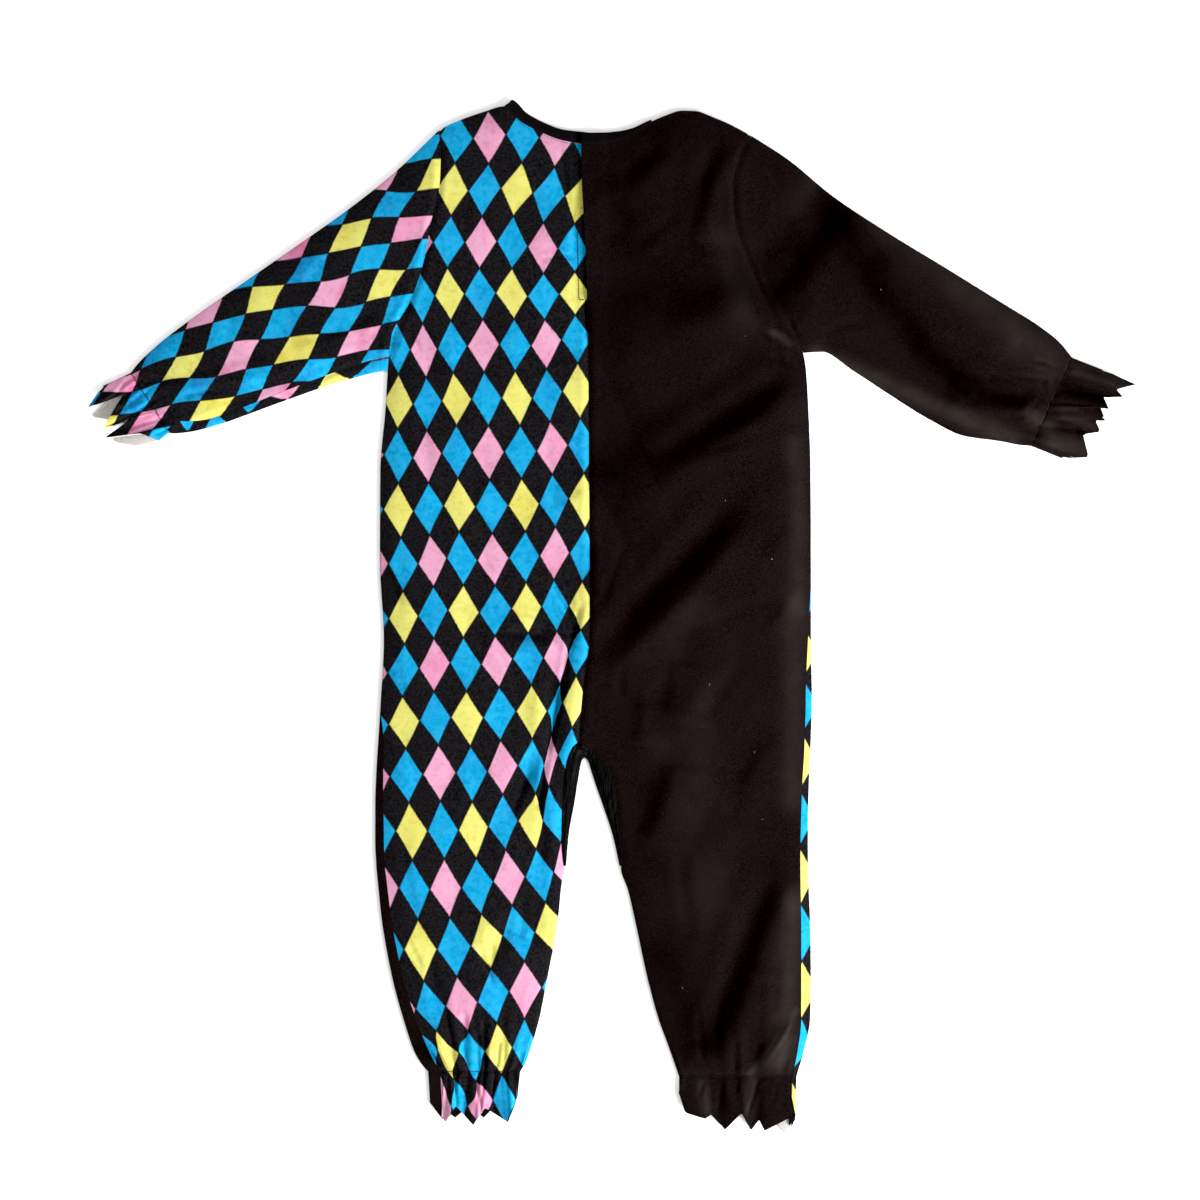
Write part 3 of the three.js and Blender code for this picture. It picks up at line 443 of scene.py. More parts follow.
leftHalf = {
    "toCentre": 1, "shoulder": 432.1, "underarm": 219.4, "elastic": -404.5, "frontCorner": 0.542,
    "lastColumn": 0.88, "rollDrop": 15, "gathers": 8, "gatherHeight": 1,
    "sections": [
        (432.1, -152.6, 0), (406.3, -150.9, 0), (384, -151.7, 0), (352.9, -158.9, 0),
        (317.3, -165.5, 0), (279, -178.4, 0), (250.5, -194.5, 0), (219.4, -198, 0),
        (183.8, -200.2, 0), (130.4, -204.7, 0), (50.3, -205.1, 0), (-20.9, -201.6, 0),
        (-74.3, -204.3, 0), (-111.7, -206.6, 5.2, -28.6), (-117, -207, 5.6, -34.4),
        (-133.1, -208, 6.2, -39.8), (-165, -209.2, 7.4, -43), (-198.9, -209.3, 8, -43.8),
        (-222, -208.3, 8, -41.8), (-223.9, -208.2, 8, -40.2), (-232, -207.4, 8.2, -42.3),
        (-243, -206.3, 8.4, -44), (-270.1, -203.4, 9, -46.7), (-323.5, -193.6, 10, -56.5),
        (-359.1, -183.8, 11.5, -63.6), (-385.8, -174.9, 13.5, -71.6), (-398, -168, 13, -76.1),
        (-404.5, -162.2, 11, -80.2),
    ],
    "neck": [(-26.2, 419.6, 10.7), (-47.6, 424.5, 9.4), (-63.6, 431.2, 9), (-80, 439.8, 9.4),
             (-94.8, 453.5, 8.9)],
    "shoulderLine": [(-111.7, 449), (-141.1, 438.3), (-152.6, 432.1)],
    "hem": [(0, -82.6, -427), (2 / 12, -90.8, -449.6), (4 / 12, -111.7, -436.6),
            (6 / 12, -121.9, -452), (8 / 12, -137.5, -435), (10 / 12, -146.4, -449.6),
            (1, -160.5, -432)],
    "underHem": [(0, -82.6, -427), (1 / 7, -90, -444), (2 / 7, -101, -434), (3 / 7, -113, -446),
                 (4 / 7, -125, -434), (5 / 7, -138, -446), (6 / 7, -151, -436), (1, -160.5, -432)],
}

rightHalf = {
    "toCentre": -1, "shoulder": 427.6, "underarm": 234.5, "elastic": -409, "frontCorner": 0.6,
    "lastColumn": 1, "rollDrop": 9, "gathers": 5, "gatherHeight": 0.7,
    "sections": [
        (427.6, 125, 0), (406.3, 114.4, 0), (384, 109, 0), (352.9, 110.8, 0), (317.3, 122.4, 0),
        (279, 138.4, 0), (250.5, 156.2, 0), (234.5, 171.3, 0), (219.4, 174, 0),
        (183.8, 176.2, 0), (130.4, 178, 0), (50.3, 178.4, 0), (-20.9, 178.4, 3),
        (-74.3, 179.3, 5.9), (-111.7, 178.2, 5.8, -28.6), (-117, 178, 5.8, -20.4),
        (-123, 177.8, 5.8, -11.5), (-133.1, 177.2, 5.9, -2.6), (-147.7, 176.6, 6.2, 3.4),
        (-178.4, 175.9, 6.6, 6.2), (-198.9, 175.7, 6.9, 7.4), (-222, 175.8, 7.2, 10.6),
        (-223.3, 175.8, 7.2, 9.2), (-243, 176.5, 7.7, 15.5), (-270.1, 177.6, 8.3, 21.8),
        (-323.5, 178.4, 9, 33.4), (-359.1, 177.6, 8.3, 43.2), (-385.8, 172.2, 6, 53),
        (-409, 165.6, 4, 61),
    ],
    "neck": [(-26.2, 418.9, 11.1), (-6.7, 419.6, 10.6), (8, 422.4, 9.1), (22, 429.4, 5.4),
             (37, 440.2, 1.2)],
    "shoulderLine": [(50.3, 446), (63, 449.8), (76, 449.4), (89, 444.8), (104.6, 438.3),
                     (125, 427.6)],
    "hem": [(0, 61, -424), (1 / 12, 66.3, -441), (2 / 12, 84.1, -446.4), (3 / 12, 89.4, -442.8),
            (5 / 12, 101.9, -456.1), (6 / 12, 116.6, -441.4), (8 / 12, 125, -457),
            (9 / 12, 132.2, -447.2), (10 / 12, 137, -457), (1, 164.6, -443)],
    "underHem": [(0, 61, -424), (1 / 7, 70, -440), (2 / 7, 84, -436), (3 / 7, 97, -452),
                 (4 / 7, 112, -438), (5 / 7, 130, -446), (0.8, 147.6, -450), (6 / 7, 154.4, -459.7),
                 (1, 164.6, -446)],
}
frontNeck = [(0, 373), (0.26, 377), (0.55, 388), (0.8, 408), (0.93, 430)]


def readHalf(half):
    sections, crotch = half["sections"], cloth["crotch"]
    centreLine = curveThrough(centreSeam)
    legLine = curveThrough([(row[0], row[3]) for row in sections if len(row) > 3])
    half["side"] = curveThrough([(row[0], row[1]) for row in sections])
    half["roll"] = curveThrough([(row[0], row[2]) for row in sections])
    half["inner"] = lambda y: np.where(np.asarray(y) >= crotch, centreLine(y), legLine(y))
    centre, width = half["neck"][0][0], half["shoulderLine"][-1][0] - half["neck"][0][0]
    top = [((row[0] - centre) / width, row[1]) for row in half["neck"] + half["shoulderLine"]]
    half["topLine"] = curveThrough(top)
    half["neckAt"] = top[len(half["neck"]) - 1][0]
    half["bindingWidth"] = curveThrough([((x - centre) / width, w) for x, y, w in half["neck"]])
    corner = half["frontCorner"]
    front = [(part * corner, y) for part, y in frontNeck]
    outward = [row for row in top if row[0] > corner + 0.01]
    half["frontNeckAt"] = front[-1][0]
    half["frontLine"] = curveThrough([*front, (corner, float(half["topLine"](corner))), *outward])
    for layer in ("hem", "underHem"):
        half[layer + "X"] = lineThrough([(at, x) for at, x, y in half[layer]])
        half[layer + "Y"] = lineThrough([(at, y) for at, x, y in half[layer]])


readHalf(leftHalf)
readHalf(rightHalf)

# sleeves
# sections: x and height of the upper edge, then of the lower edge

leftSleeve = {
    "half": leftHalf,
    "sections": [
        (-152.6, 432.1, -198, 219.4), (-190.9, 395.6, -217, 215.2), (-231, 363.6, -249.6, 206),
        (-276.3, 331.5, -285.2, 193.6), (-322.6, 299.5, -319.1, 181.1),
        (-368.9, 267.4, -349.3, 170.4), (-402.7, 241.6, -374.2, 164.2),
        (-419.6, 225.6, -387, 162.9), (-426.8, 216.7, -392.9, 163.3),
    ],
    "hem": [(0, -451.7, 205.1), (0.1, -465, 185), (0.3, -433, 198), (0.5, -451.7, 166),
            (0.7, -425, 176.7), (0.8, -450.5, 158.4), (0.9, -416.1, 162.6), (1, -401.9, 156.2)],
    "underHem": [(0, -451.7, 205.1), (0.1, -442, 196), (0.3, -462.4, 178.4), (0.5, -432, 172),
                 (0.7, -430, 168), (0.8, -442.8, 155.6), (0.9, -422.3, 151.7),
                 (1, -401.9, 156.2)],
}

rightSleeve = {
    "half": rightHalf,
    "sections": [
        (125, 427.6, 171.3, 234.5), (158, 406.3, 189.1, 235.4), (197.1, 374.2, 217.6, 217.6),
        (245.2, 342.2, 251.4, 195.4), (297.7, 310.2, 284.4, 174.9), (346.7, 279.9, 314.6, 160.6),
        (382.3, 257.7, 344.9, 156.2), (400.1, 243.4, 364.5, 152.6), (410.7, 230.1, 374.2, 151.7),
    ],
    "hem": [(0, 438, 219.4), (0.1, 466.5, 206.2), (0.2, 449.5, 202), (0.3, 455.8, 195.2),
            (0.4, 438.2, 195.2), (0.5, 442.8, 184.4), (0.58, 427.6, 187.8), (0.66, 440.1, 174.4),
            (0.7, 431, 174.8), (0.76, 435.7, 164.2), (0.81, 419.6, 162.4), (0.9, 424.8, 141.8),
            (1, 401.8, 140.6)],
    "underHem": [(0, 438, 219.4), (0.2, 452, 204), (0.4, 434, 192), (0.6, 439, 178),
                 (0.8, 418, 166), (0.9, 421, 146), (1, 401.8, 140.6)],
}

# x and height of the gusset's folded edge, a row for each of the crotch's steps
gussetEdge = {
    "left": [(-22.9, -125.5), (-24.4, -126.6), (-25.6, -128.8), (-27, -135), (-29.2, -148),
             (-32.2, -167), (-37, -193.6), (-39.4, -221.4)],
    "right": [(-22.9, -125.5), (-21.4, -126.6), (-19.8, -129), (-17.4, -136.4), (-13, -150),
              (-6.6, -168.4), (2, -194.6), (8, -221.4)],
}

# the upper layer's height


def outlinePoints():
    def down(half):
        return [(row[1], row[0]) for row in half["sections"] if row[0] <= half["underarm"]]

    def inside(half):
        return [(row[3], row[0]) for row in half["sections"] if row[0] < cloth["gussetEnd"]]

    def sleeve(arm):
        upper = [row[:2] for row in arm["sections"]]
        return upper + [row[2:] for row in arm["sections"]][::-1]

    def neck(half):
        return [(x + half["toCentre"] * w * 0.4, y + w * 0.9) for x, y, w in half["neck"]]

    return (neck(leftHalf) + leftHalf["shoulderLine"] + sleeve(leftSleeve) + down(leftHalf)
            + inside(leftHalf)[::-1] + gussetEdge["left"][::-1] + gussetEdge["right"]
            + inside(rightHalf) + down(rightHalf)[::-1] + sleeve(rightSleeve)[::-1]
            + rightHalf["shoulderLine"][::-1] + neck(rightHalf)[::-1])


def distanceTo(line, x, y, closed=False):
    # distance to a line of points, and how far along it that is, counted in its points
    nearest = np.full(x.shape, np.inf)
    along = np.zeros(x.shape)
    ends = list(zip(line, line[1:])) + ([(line[-1], line[0])] if closed else [])
    for i, ((ax, ay), (bx, by)) in enumerate(ends):
        length = (bx - ax) ** 2 + (by - ay) ** 2
        if length < 1e-6:
            continue
        t = np.clip(((x - ax) * (bx - ax) + (y - ay) * (by - ay)) / length, 0, 1)
        distance = np.hypot(x - ax - t * (bx - ax), y - ay - t * (by - ay))
        closer = distance < nearest
        nearest = np.where(closer, distance, nearest)
        along = np.where(closer, i + t, along)
    return nearest, along


outline = outlinePoints()


def depthInside(x, y):
    inside = np.zeros(x.shape, bool)
    for (ax, ay), (bx, by) in zip(outline, outline[1:] + outline[:1]):
        if ay == by:
            continue
        crosses = (ay > y) != (by > y)
        inside ^= crosses & (x < ax + (bx - ax) * (y - ay) / (by - ay))
    return np.where(inside, distanceTo(outline, x, y, True)[0], 0)


# from x and height, by way of, to, width of the trough and its depth (a ridge where below 0)
folds = [
    (99, 421, 92, 402, 77, 381, 11, 1.6), (43, 421, 30, 404, 8, 388, 12, 1.8),
    (119, 304, 85, 292, 40, 278, 20, 2.2), (161, 219, 104, 176, 32, 135, 15, 3),
    (111, 98, 50, 34, -15, -39, 16, 3), (161, 114, 160, 90, 153, 69, 12, 1.8),
    (51, -50, 52, -100, 51, -150, 18, 1.6), (149, -223, 112, -300, 84, -392, 14, 2.6),
    (165, -356, 152, -384, 129, -408, 10, -2.4), (205, 356, 164, 322, 154, 288, 14, 1.8),
    (224, 333, 240, 284, 279, 234, 15, 1.8), (320, 197, 348, 194, 372, 194, 10, 1.6),
    (-52, -56, -48, -110, -49, -163, 11, 3), (-60, -112, -72, -134, -84, -156, 13, 1.8),
    (-90, -14, -72, -19, -54, -13, 10, 1.6), (-190, 262, -170, 246, -150, 214, 13, 2),
    (-236, 222, -290, 208, -350, 184, 10, 1.5), (-84, -268, -104, -290, -112, -322, 12, 1.4),
]

# smaller creases, in the same columns
creases = [
    # black back
    (14, 66, 2, 40, -8, 8, 5, 0.7), (90, 402, 84, 392, 80, 372, 5, 0.6),
    (60, 360, 44, 342, 20, 330, 8, 0.7), (140, 168, 112, 152, 84, 148, 7, 0.8),
    (150, 20, 120, 4, 96, 0, 8, 0.6), (10, -42, 9, -56, 9, -70, 5, 0.8),
    (150, 11, 148, 4, 144, -2, 4, 0.7), (120, -40, 96, -62, 84, -92, 9, 0.7),
    (130, -120, 110, -150, 104, -186, 9, 0.6), (60, -212, 66, -250, 70, -290, 8, 0.7),
    (135, -376, 130, -390, 126, -405, 5, 1.2), (112, -374, 111, -392, 112, -410, 4, 1.1),
    (150, -300, 144, -330, 146, -352, 6, 0.8), (30, -172, 40, -190, 58, -200, 7, 0.6),
    (98, -340, 94, -360, 96, -385, 5, 0.8), (78, -350, 80, -378, 82, -402, 4, 0.8),
    # printed back
    (-30, 380, -34, 350, -31, 318, 5, 0.6), (-60, 330, -50, 322, -34, 318, 5, 0.5),
    (-170, 180, -164, 150, -160, 118, 7, 0.6), (-190, 60, -184, 30, -190, 0, 6, 0.6),
    (-196, 120, -186, 104, -170, 96, 5, 0.6), (-60, 160, -52, 130, -48, 96, 7, 0.5),
    (-120, 100, -112, 70, -112, 40, 8, 0.5), (-40, 20, -34, -6, -33, -30, 5, 0.9),
    (-190, -100, -176, -130, -168, -160, 7, 0.6), (-54, -20, -44, -34, -30, -42, 5, 1),
    (-78, -246, -76, -270, -82, -292, 5, 0.9), (-108, -285, -104, -296, -106, -312, 4, 0.8),
    (-186, -200, -180, -240, -170, -280, 6, 0.7), (-150, -330, -146, -360, -140, -392, 6, 1.1),
    (-130, -350, -128, -376, -130, -400, 4, 1.1), (-112, -356, -112, -380, -110, -402, 4, 1.1),
    (-94, -350, -96, -376, -94, -402, 4, 1), (-160, -300, -156, -330, -154, -360, 6, 0.8),
    (-60, -170, -58, -196, -62, -220, 6, 0.8),
    # beside the deep lengthwise fold above the crotch
    (-23.6, 16.5, -37.8, -28, -43.2, -61.9, 3.2, 1.6),
    (-43.2, -61.9, -50.3, -93.9, -56.5, -125, 3.4, 2.4),
    (-56.5, -125, -60.1, -145.5, -63.6, -168.7, 3.2, 1.8),
    (-52.1, 29.8, -44.9, 11.1, -30.7, -3.1, 2.8, 1.3),
    (-37.8, 25.4, -34.3, 11.1, -26.3, -3.1, 2.4, 1.1),
    (-60.1, -9.3, -44.9, -18.2, -25.4, -15.6, 2.6, 1.3),
    (-125, -15.6, -87.7, -12.9, -58.3, -17.4, 2.2, 0.8),
    (-80.5, 4, -62.7, 0.4, -48.5, -8.5, 2.4, 0.8),
    (-101.9, -34.3, -87.7, -45.8, -80.5, -65.4, 3, 0.6),
    (-166, 28.9, -151.7, 18.2, -141.1, 4, 3, 0.6),
    (-194.5, -29.8, -187.3, -45.8, -183.8, -65.4, 3, 0.7),
    (-198, 44.9, -192.7, 32.5, -190.9, 14.7, 3, 0.8),
    (-71.6, -136.6, -78.8, -154.4, -85.9, -174, 3.4, 1),
    (-116.1, -295, -110.8, -309.3, -103.7, -327.1, 3.2, 1.1),
    (-87.7, -277.2, -77, -286.1, -62.7, -287.9, 2.6, 1.2),
    (-183.8, -279, -176.7, -296.8, -166, -312.8, 3, 0.8),
    (-146.4, -350.2, -141.1, -371.6, -137.5, -398.3, 2.6, 1.4),
    (-169.5, -360.9, -158.9, -380.5, -148.2, -396.5, 2.4, 1.3),
    (-117.9, -366.2, -116.1, -384, -116.1, -401.8, 2.4, 1.2),
    (-98.3, -376.9, -100.1, -389.4, -98.3, -403.6, 2.2, 1.1),
    (-44.9, 415.2, -39.6, 388.5, -36, 358.2, 3, 0.8),
    (-62.7, 315.5, -48.5, 322.6, -32.5, 319.1, 2.6, 0.8),
    (-187.3, 262.1, -174.9, 251.4, -169.5, 235.4, 3, 1),
    (-183.8, 326.2, -176.7, 308.4, -174.9, 285.2, 3, 0.7),
    # printed sleeve
    (-186, 240, -200, 250, -214, 254, 5, 0.9), (-196, 232, -216, 236, -240, 232, 4, 0.8),
    (-300, 204, -320, 208, -344, 202, 5, 0.9), (-340, 200, -362, 202, -380, 196, 4, 0.9),
    (-380, 178, -392, 184, -410, 190, 4, 0.9), (-392, 214, -404, 212, -414, 208, 4, 0.8),
    (-240, 330, -262, 312, -270, 290, 6, 0.5), (-330, 276, -340, 258, -342, 240, 6, 0.5),
    (-197, 230, -240, 223, -272, 203, 4, 1.5), (-267, 205, -299, 191, -330, 184, 4, 1.4),
    (-330, 185, -352, 180, -378, 166, 4, 1.6), (-184, 266, -194, 246, -195, 228, 5, 1.3),
    # above the right cuff's elastic
    (376.9, 228.3, 391.2, 224.7, 406.3, 215.8, 3, 1.7),
    (374.2, 199.8, 386.7, 190.9, 397.4, 182, 2.4, 1.6),
    (368.9, 166, 378.7, 166, 388.5, 168.7, 2.4, 1.4),
    (379.6, 174.9, 384, 171.3, 388.5, 167.8, 2, 1.3),
    (387.6, 210.5, 391.2, 201.6, 391.2, 190.9, 4.5, -2),
    (355.6, 214.9, 376.9, 212.3, 400.1, 206.9, 3.4, 1),
    (382.3, 192.7, 373.4, 182, 357.3, 174.9, 4, 0.9),
    # puckers below the right armhole
    (136, 248, 150, 242, 160, 230, 5, -2.4), (150, 256, 158, 248, 168, 240, 4, -2.2),
    (142, 232, 156, 226, 168, 218, 4, 1.8), (158, 264, 162, 254, 170, 246, 3, 1.4),
    (162, -357, 148, -384, 126, -409, 2.6, -1.5),
    # black sleeve
    (190, 250, 206, 262, 230, 262, 6, 0.8), (180, 244, 196, 240, 214, 232, 5, 0.8),
    (330, 214, 348, 214, 372, 206, 5, 0.8), (352, 180, 364, 180, 378, 176, 4, 0.8),
    (360, 246, 374, 236, 388, 224, 5, 1), (300, 250, 316, 236, 340, 230, 7, 0.7),
    (250, 300, 262, 280, 268, 256, 8, 0.6), (140, 380, 156, 362, 162, 340, 7, 0.6),
]


# steep sides of broad folds, in the same columns but with a rise: the cloth rises across the
# line, to the left of its way, and falls away slowly beyond it
flanks = [
    (130, 312, 71, 280, -14, 240, 33, 6.4), (168, 230, 111, 176, -10, 118, 36, 6.6),
    (117, 97, 71, 41, -14, -37, 22, 5.4), (99, 424, 84, 384, 77, 335, 8.5, 3.5),
    (35, 415, 13, 402, -11, 375, 11.4, 2), (164, 130, 155, 86, 133, 50, 9.9, 2.6),
    (162, 24, 146, 6, 138, -8, 5.8, 2), (55, -39, 51, -65, 46, -92, 8.5, 2.3),
    (51, -128, 44, -163, 29, -197, 9.9, 3.2), (99, -170, 80, -203, 51, -238, 19, 2.6),
    (149, -104, 124, -119, 109, -153, 9.9, 2.3), (150, -214, 126, -279, 120, -322, 19, 3.6),
    (123, -306, 108, -350, 84, -406, 20, 3.4), (135, -363, 131, -381, 129, -402, 6.6, 1.9),
    (150, -362, 138, -384, 124, -402, 7, 1.6), (65, -380, 66, -395, 70, -409, 5.8, 2),
    (208, 366, 169, 326, 142, 270, 30, 4.2), (227, 318, 253, 240, 318, 190, 18, 4.6),
    (379, 189, 338, 186, 298, 198, 9.9, 3.8), (151, 237, 160, 232, 169, 223, 8.5, 2.3),
    (26, -74, 23, -92, 21, -114, 7.2, 1.7),
]

# creases in the ruffles, in the same columns as the folds
hemCreases = [
    (410.7, 206.9, 425, 201.6, 442.8, 190.9, 6, 1.5),
    (396.5, 174.9, 416.1, 174.9, 424.1, 157.1, 2.4, 1.4),
    (419.6, 222.9, 435.7, 215.8, 457, 206.9, 3.4, 0.8),
    (401.8, 183.8, 417.9, 182, 433.9, 171.3, 2.6, 1),
    (391.2, 160.6, 401.8, 153.5, 409, 142.8, 2.6, 0.9),
    (-429.4, 208.7, -440.1, 196.2, -454.3, 185.6, 2.6, 1.2),
    (-409.8, 187.3, -422.3, 180.2, -440.1, 171.3, 2.6, 1.3),
    (-397.4, 171.3, -411.6, 166, -427.6, 160.6, 2.4, 1.2),
    (-418.7, 199.8, -427.6, 192.7, -443.7, 183.8, 3, -1.2),
    (101, -410.7, 97, -426.8, 95.7, -446, 3.4, 0.5),
    (113.5, -410.7, 115, -418, 110.8, -424, 1.8, 1),
    (131.3, -410.7, 128, -428, 120, -446, 2.4, 0.9), (147.3, -410.7, 148, -420, 145, -430, 3, 0.5),
    (84, -410.7, 80, -420, 79, -428, 2.4, 0.9),
    (-139.3, -409, -136.6, -423.2, -137.5, -437.4, 2.2, 1.3),
    (-119.7, -409, -117.9, -425, -114.4, -437.4, 2.4, 1.4),
    (-101.9, -409, -103.7, -419.6, -107.2, -430.3, 2.2, 1.2),
]


strokeParts = 8                # straight parts that a curved stroke is worked out in


def strokes(rows, x, y, spread):
    # each row's line, width and amount, with the points within so many widths of it
    t = np.linspace(0, 1, strokeParts + 1)
    for fromX, fromY, viaX, viaY, toX, toY, width, amount in rows:
        lineX = (1 - t) ** 2 * fromX + 2 * t * (1 - t) * viaX + t * t * toX
        lineY = (1 - t) ** 2 * fromY + 2 * t * (1 - t) * viaY + t * t * toY
        reach = spread * width
        near = ((x > lineX.min() - reach) & (x < lineX.max() + reach)
                & (y > lineY.min() - reach) & (y < lineY.max() + reach))
        if near.any():
            yield lineX, lineY, width, amount, near


def foldRise(rows, x, y):
    # troughs with lower ridges along each side, dying away at both ends
    rise = np.zeros(x.shape)
    for lineX, lineY, width, deep, near in strokes(rows, x, y, 3):
        distance, along = distanceTo(list(zip(lineX, lineY)), x[near], y[near])
        off = distance / width
        share = along / strokeParts
        fade = smooth(np.minimum(share, 1 - share) * 5 + 0.15)
        rise[near] -= np.where(off > 3, 0, deep * fade * np.cos(off * 1.9) * np.exp(-off * off * 0.45))
    return rise


def flankRise(rows, x, y):
    # one side of each line rises steeply and falls away slowly
    rise = np.zeros(x.shape)
    for lineX, lineY, width, high, near in strokes(rows, x, y, 9):
        px, py = x[near], y[near]
        distance, along = distanceTo(list(zip(lineX, lineY)), px, py)
        part = np.minimum(along.astype(int), strokeParts - 1)
        wayX, wayY = np.diff(lineX)[part], np.diff(lineY)[part]
        across = wayX * (py - lineY[part]) - wayY * (px - lineX[part])
        off = np.sign(across) * distance / width
        share = along / strokeParts
        beyond = np.hypot(px - lineX[0], py - lineY[0]) * (along <= 0)
        beyond += np.hypot(px - lineX[-1], py - lineY[-1]) * (along >= strokeParts)
        fade = smooth(np.minimum(share, 1 - share) * 5 + 0.3) * np.exp(-beyond / (1.4 * width))
        rise[near] += high * fade * smooth(off / 2 + 0.5) * np.exp(-np.maximum(off - 0.8, 0) / 3.2)
    return rise


def seamLines():
    def between(half, low, high, key):
        y = np.linspace(low, high, 24)
        return list(zip(half[key](y), y))

    lines = [between(leftHalf, cloth["crotch"], slit["end"], "inner")]
    for half in (leftHalf, rightHalf):
        lines.append(between(half, half["underarm"], half["shoulder"], "side"))
        lines.append(between(half, cloth["gussetEnd"], cloth["crotch"], "inner"))
    return lines


seams = {"lines": seamLines(), "dip": 1.1, "reach": 2.6, "ridge": 0.35, "ridgeAt": 2.2}
grooves = {
    "lines": [[(-162, -404.5), (-80, -404.5)], [(61, -409), (165.6, -409)],
              [(-426, 216), (-416, 200), (-407, 190), (-403.6, 183), (-393, 163.5)],
              [(411, 230), (374, 151.7)]],
    "dip": 1.3, "reach": 1.9,
}


def upperHeight(x, y):
    x, y = np.broadcast_arrays(np.asarray(x, float), np.asarray(y, float))
    depth = np.maximum(0, depthInside(x, y) - foldOut)
    inside = 1 - np.exp(-depth / cloth["loftReach"])
    rise = np.maximum(foldRise(folds, x, y), 0.7 - cloth["loft"]) + foldRise(creases, x, y)
    rise += flankRise(flanks, x, y)
    slow = np.sin(x * 0.071 + 1.3 * np.sin(y * 0.023)) * np.sin(y * 0.052 + 0.9 * np.sin(x * 0.031))
    quick = np.sin(x * 0.19 + y * 0.07 + 2 * np.sin(y * 0.045)) * np.sin(y * 0.16 - x * 0.05)
    rise = cloth["loft"] + rise + cloth["slowRipple"] * slow + cloth["quickRipple"] * quick
    height = cloth["upperMid"] + rise * inside
    for line in seams["lines"]:
        away = distanceTo(line, x, y)[0] / seams["reach"]
        height -= seams["dip"] * np.exp(-away * away) * inside
        height += seams["ridge"] * np.exp(-(away - seams["ridgeAt"]) ** 2) * inside
    for line in grooves["lines"]:
        away = distanceTo(line, x, y)[0] / grooves["reach"]
        height -= grooves["dip"] * np.exp(-away * away) * inside
    return height


def slitHeight(x, y):
    near = smooth((slit["width"] - np.abs(x - slit["place"])) / slit["width"] * 1.8)
    return slit["step"] * near * smooth((y - slit["end"] + slit["rise"]) / 30)


def leftHeight(x, y):
    return upperHeight(x, y) - slitHeight(x, y)


def rightHeight(x, y):
    return upperHeight(x, y) + slitHeight(x, y)


def foldPlaces(height, edge, way, reach):
    # places in an edge fold: reach is the cloth's distance past its outermost line,
    # above 0 on the upper side and below 0 on the lower side; way points into the garment
    inward = np.abs(reach) - quarterFold
    flat = inward >= 0
    turn = np.clip(reach / quarterFold, -1, 1) * math.pi / 2
    out = np.where(flat, foldOut + inward, foldOut - foldMid * np.cos(turn))
    x, y = edge[0] + way[0] * out, edge[1] + way[1] * out
    rounded = foldCentre + foldMid * np.sin(turn)
    z = np.where(flat, np.where(reach > 0, height(x, y), cloth["lowerMid"]), rounded)
    return x, y, z


# painted shade and light on the cloth, where its folds, flanks and creases fall dark or catch the light
# from x and height, by way of, to, width, and how much lighter it is painted, above 0,
# or darker, below 0

shadeAndLightStrokes = [
    (-16, 55, -30, -21, -40, -71, 7, -0.6), (-43, -62, -52, -105, -60, -168, 4.5, -1.1),
    (-60, -163, -55, -217, -62, -288, 6, -0.5), (-168, -384, -154, -396, -138, -405, 5, -0.7),
    (-114, -373, -113, -395, -111, -418, 4, -0.7), (-93, -382, -91, -396, -97, -416, 3, -0.6),
    (-280, 241, -244, 248, -210, 266, 4, -0.6), (-410, 203, -356, 216, -310, 230, 4, -0.6),
    (-38, 415, -34, 380, -32, 342, 6, -0.4), (-94, -16, -72, -21, -49, -21, 3, -0.6),
    (-67, -137, -77, -159, -86, -177, 4, -0.5), (-198, 45, -192, 31, -186, 15, 4, -0.5),
    (206, 371, 164, 331, 147, 282, 19, -0.75), (206, 348, 244, 262, 316, 206, 13, -0.75),
    (307, 209, 342, 196, 373, 191, 9, -0.75), (244, 357, 320, 291, 387, 228, 20, 0.5),
    (182, 235, 258, 200, 357, 157, 8, 0.75), (373, 182, 382, 175, 389, 168, 7, 0.7),
    (407, 203, 422, 195, 441, 189, 7, -0.7), (393, 155, 405, 154, 420, 150, 8, 0.9),
    (414, 218, 434, 214, 457, 207, 5, 0.6), (404, 180, 416, 177, 429, 168, 6, 0.5),
    (40, 420, 7, 388, 19, 337, 20, -0.5), (163, 153, 167, 86, 165, 6, 8, 0.35),
    (163, 15, 163, -74, 162, -163, 11, 0.4), (162, -252, 160, -324, 151, -395, 10, 0.6),
    (71, -3, 71, -128, 81, -252, 26, 0.22), (40, -150, 26, -190, 37, -218, 12, -0.35),
    (141, -224, 137, -310, 90, -377, 14, -0.35), (51, -301, 69, -350, 87, -388, 17, -0.5),
    (176, 223, 84, 168, -5, 125, 20, -0.45), (144, 251, 150, 250, 157, 243, 4, 0.7),
    (165, -350, 147, -382, 124, -406, 2.6, 0.8), (80, 308, 49, 291, 0, 282, 20, -0.45),
    (97, 335, 106, 299, 124, 264, 16, 0.3), (111, 93, 84, 50, 26, 6, 16, -0.35),
    (80, -413, 83, -427, 85, -439, 5, 0.5), (97, -413, 101, -429, 105, -439, 4, -0.5),
    (126, -411, 124, -423, 122, -439, 4, 0.5), (195, 415, 179, 380, 169, 357, 13, 0.4),
    (80, -21, 71, -57, 48, -88, 12, -0.4),
]


def shadeAndLightTone(x, y):
    # the painted shade and light at each point, summed from the strokes
    tone = np.zeros(x.shape)
    for lineX, lineY, width, amount, near in strokes(shadeAndLightStrokes, x, y, 6):
        off = distanceTo(list(zip(lineX, lineY)), x[near], y[near])[0] / width
        tone[near] += amount * np.exp(-off * off)
    return tone


# a wall of cloth from a grid of places


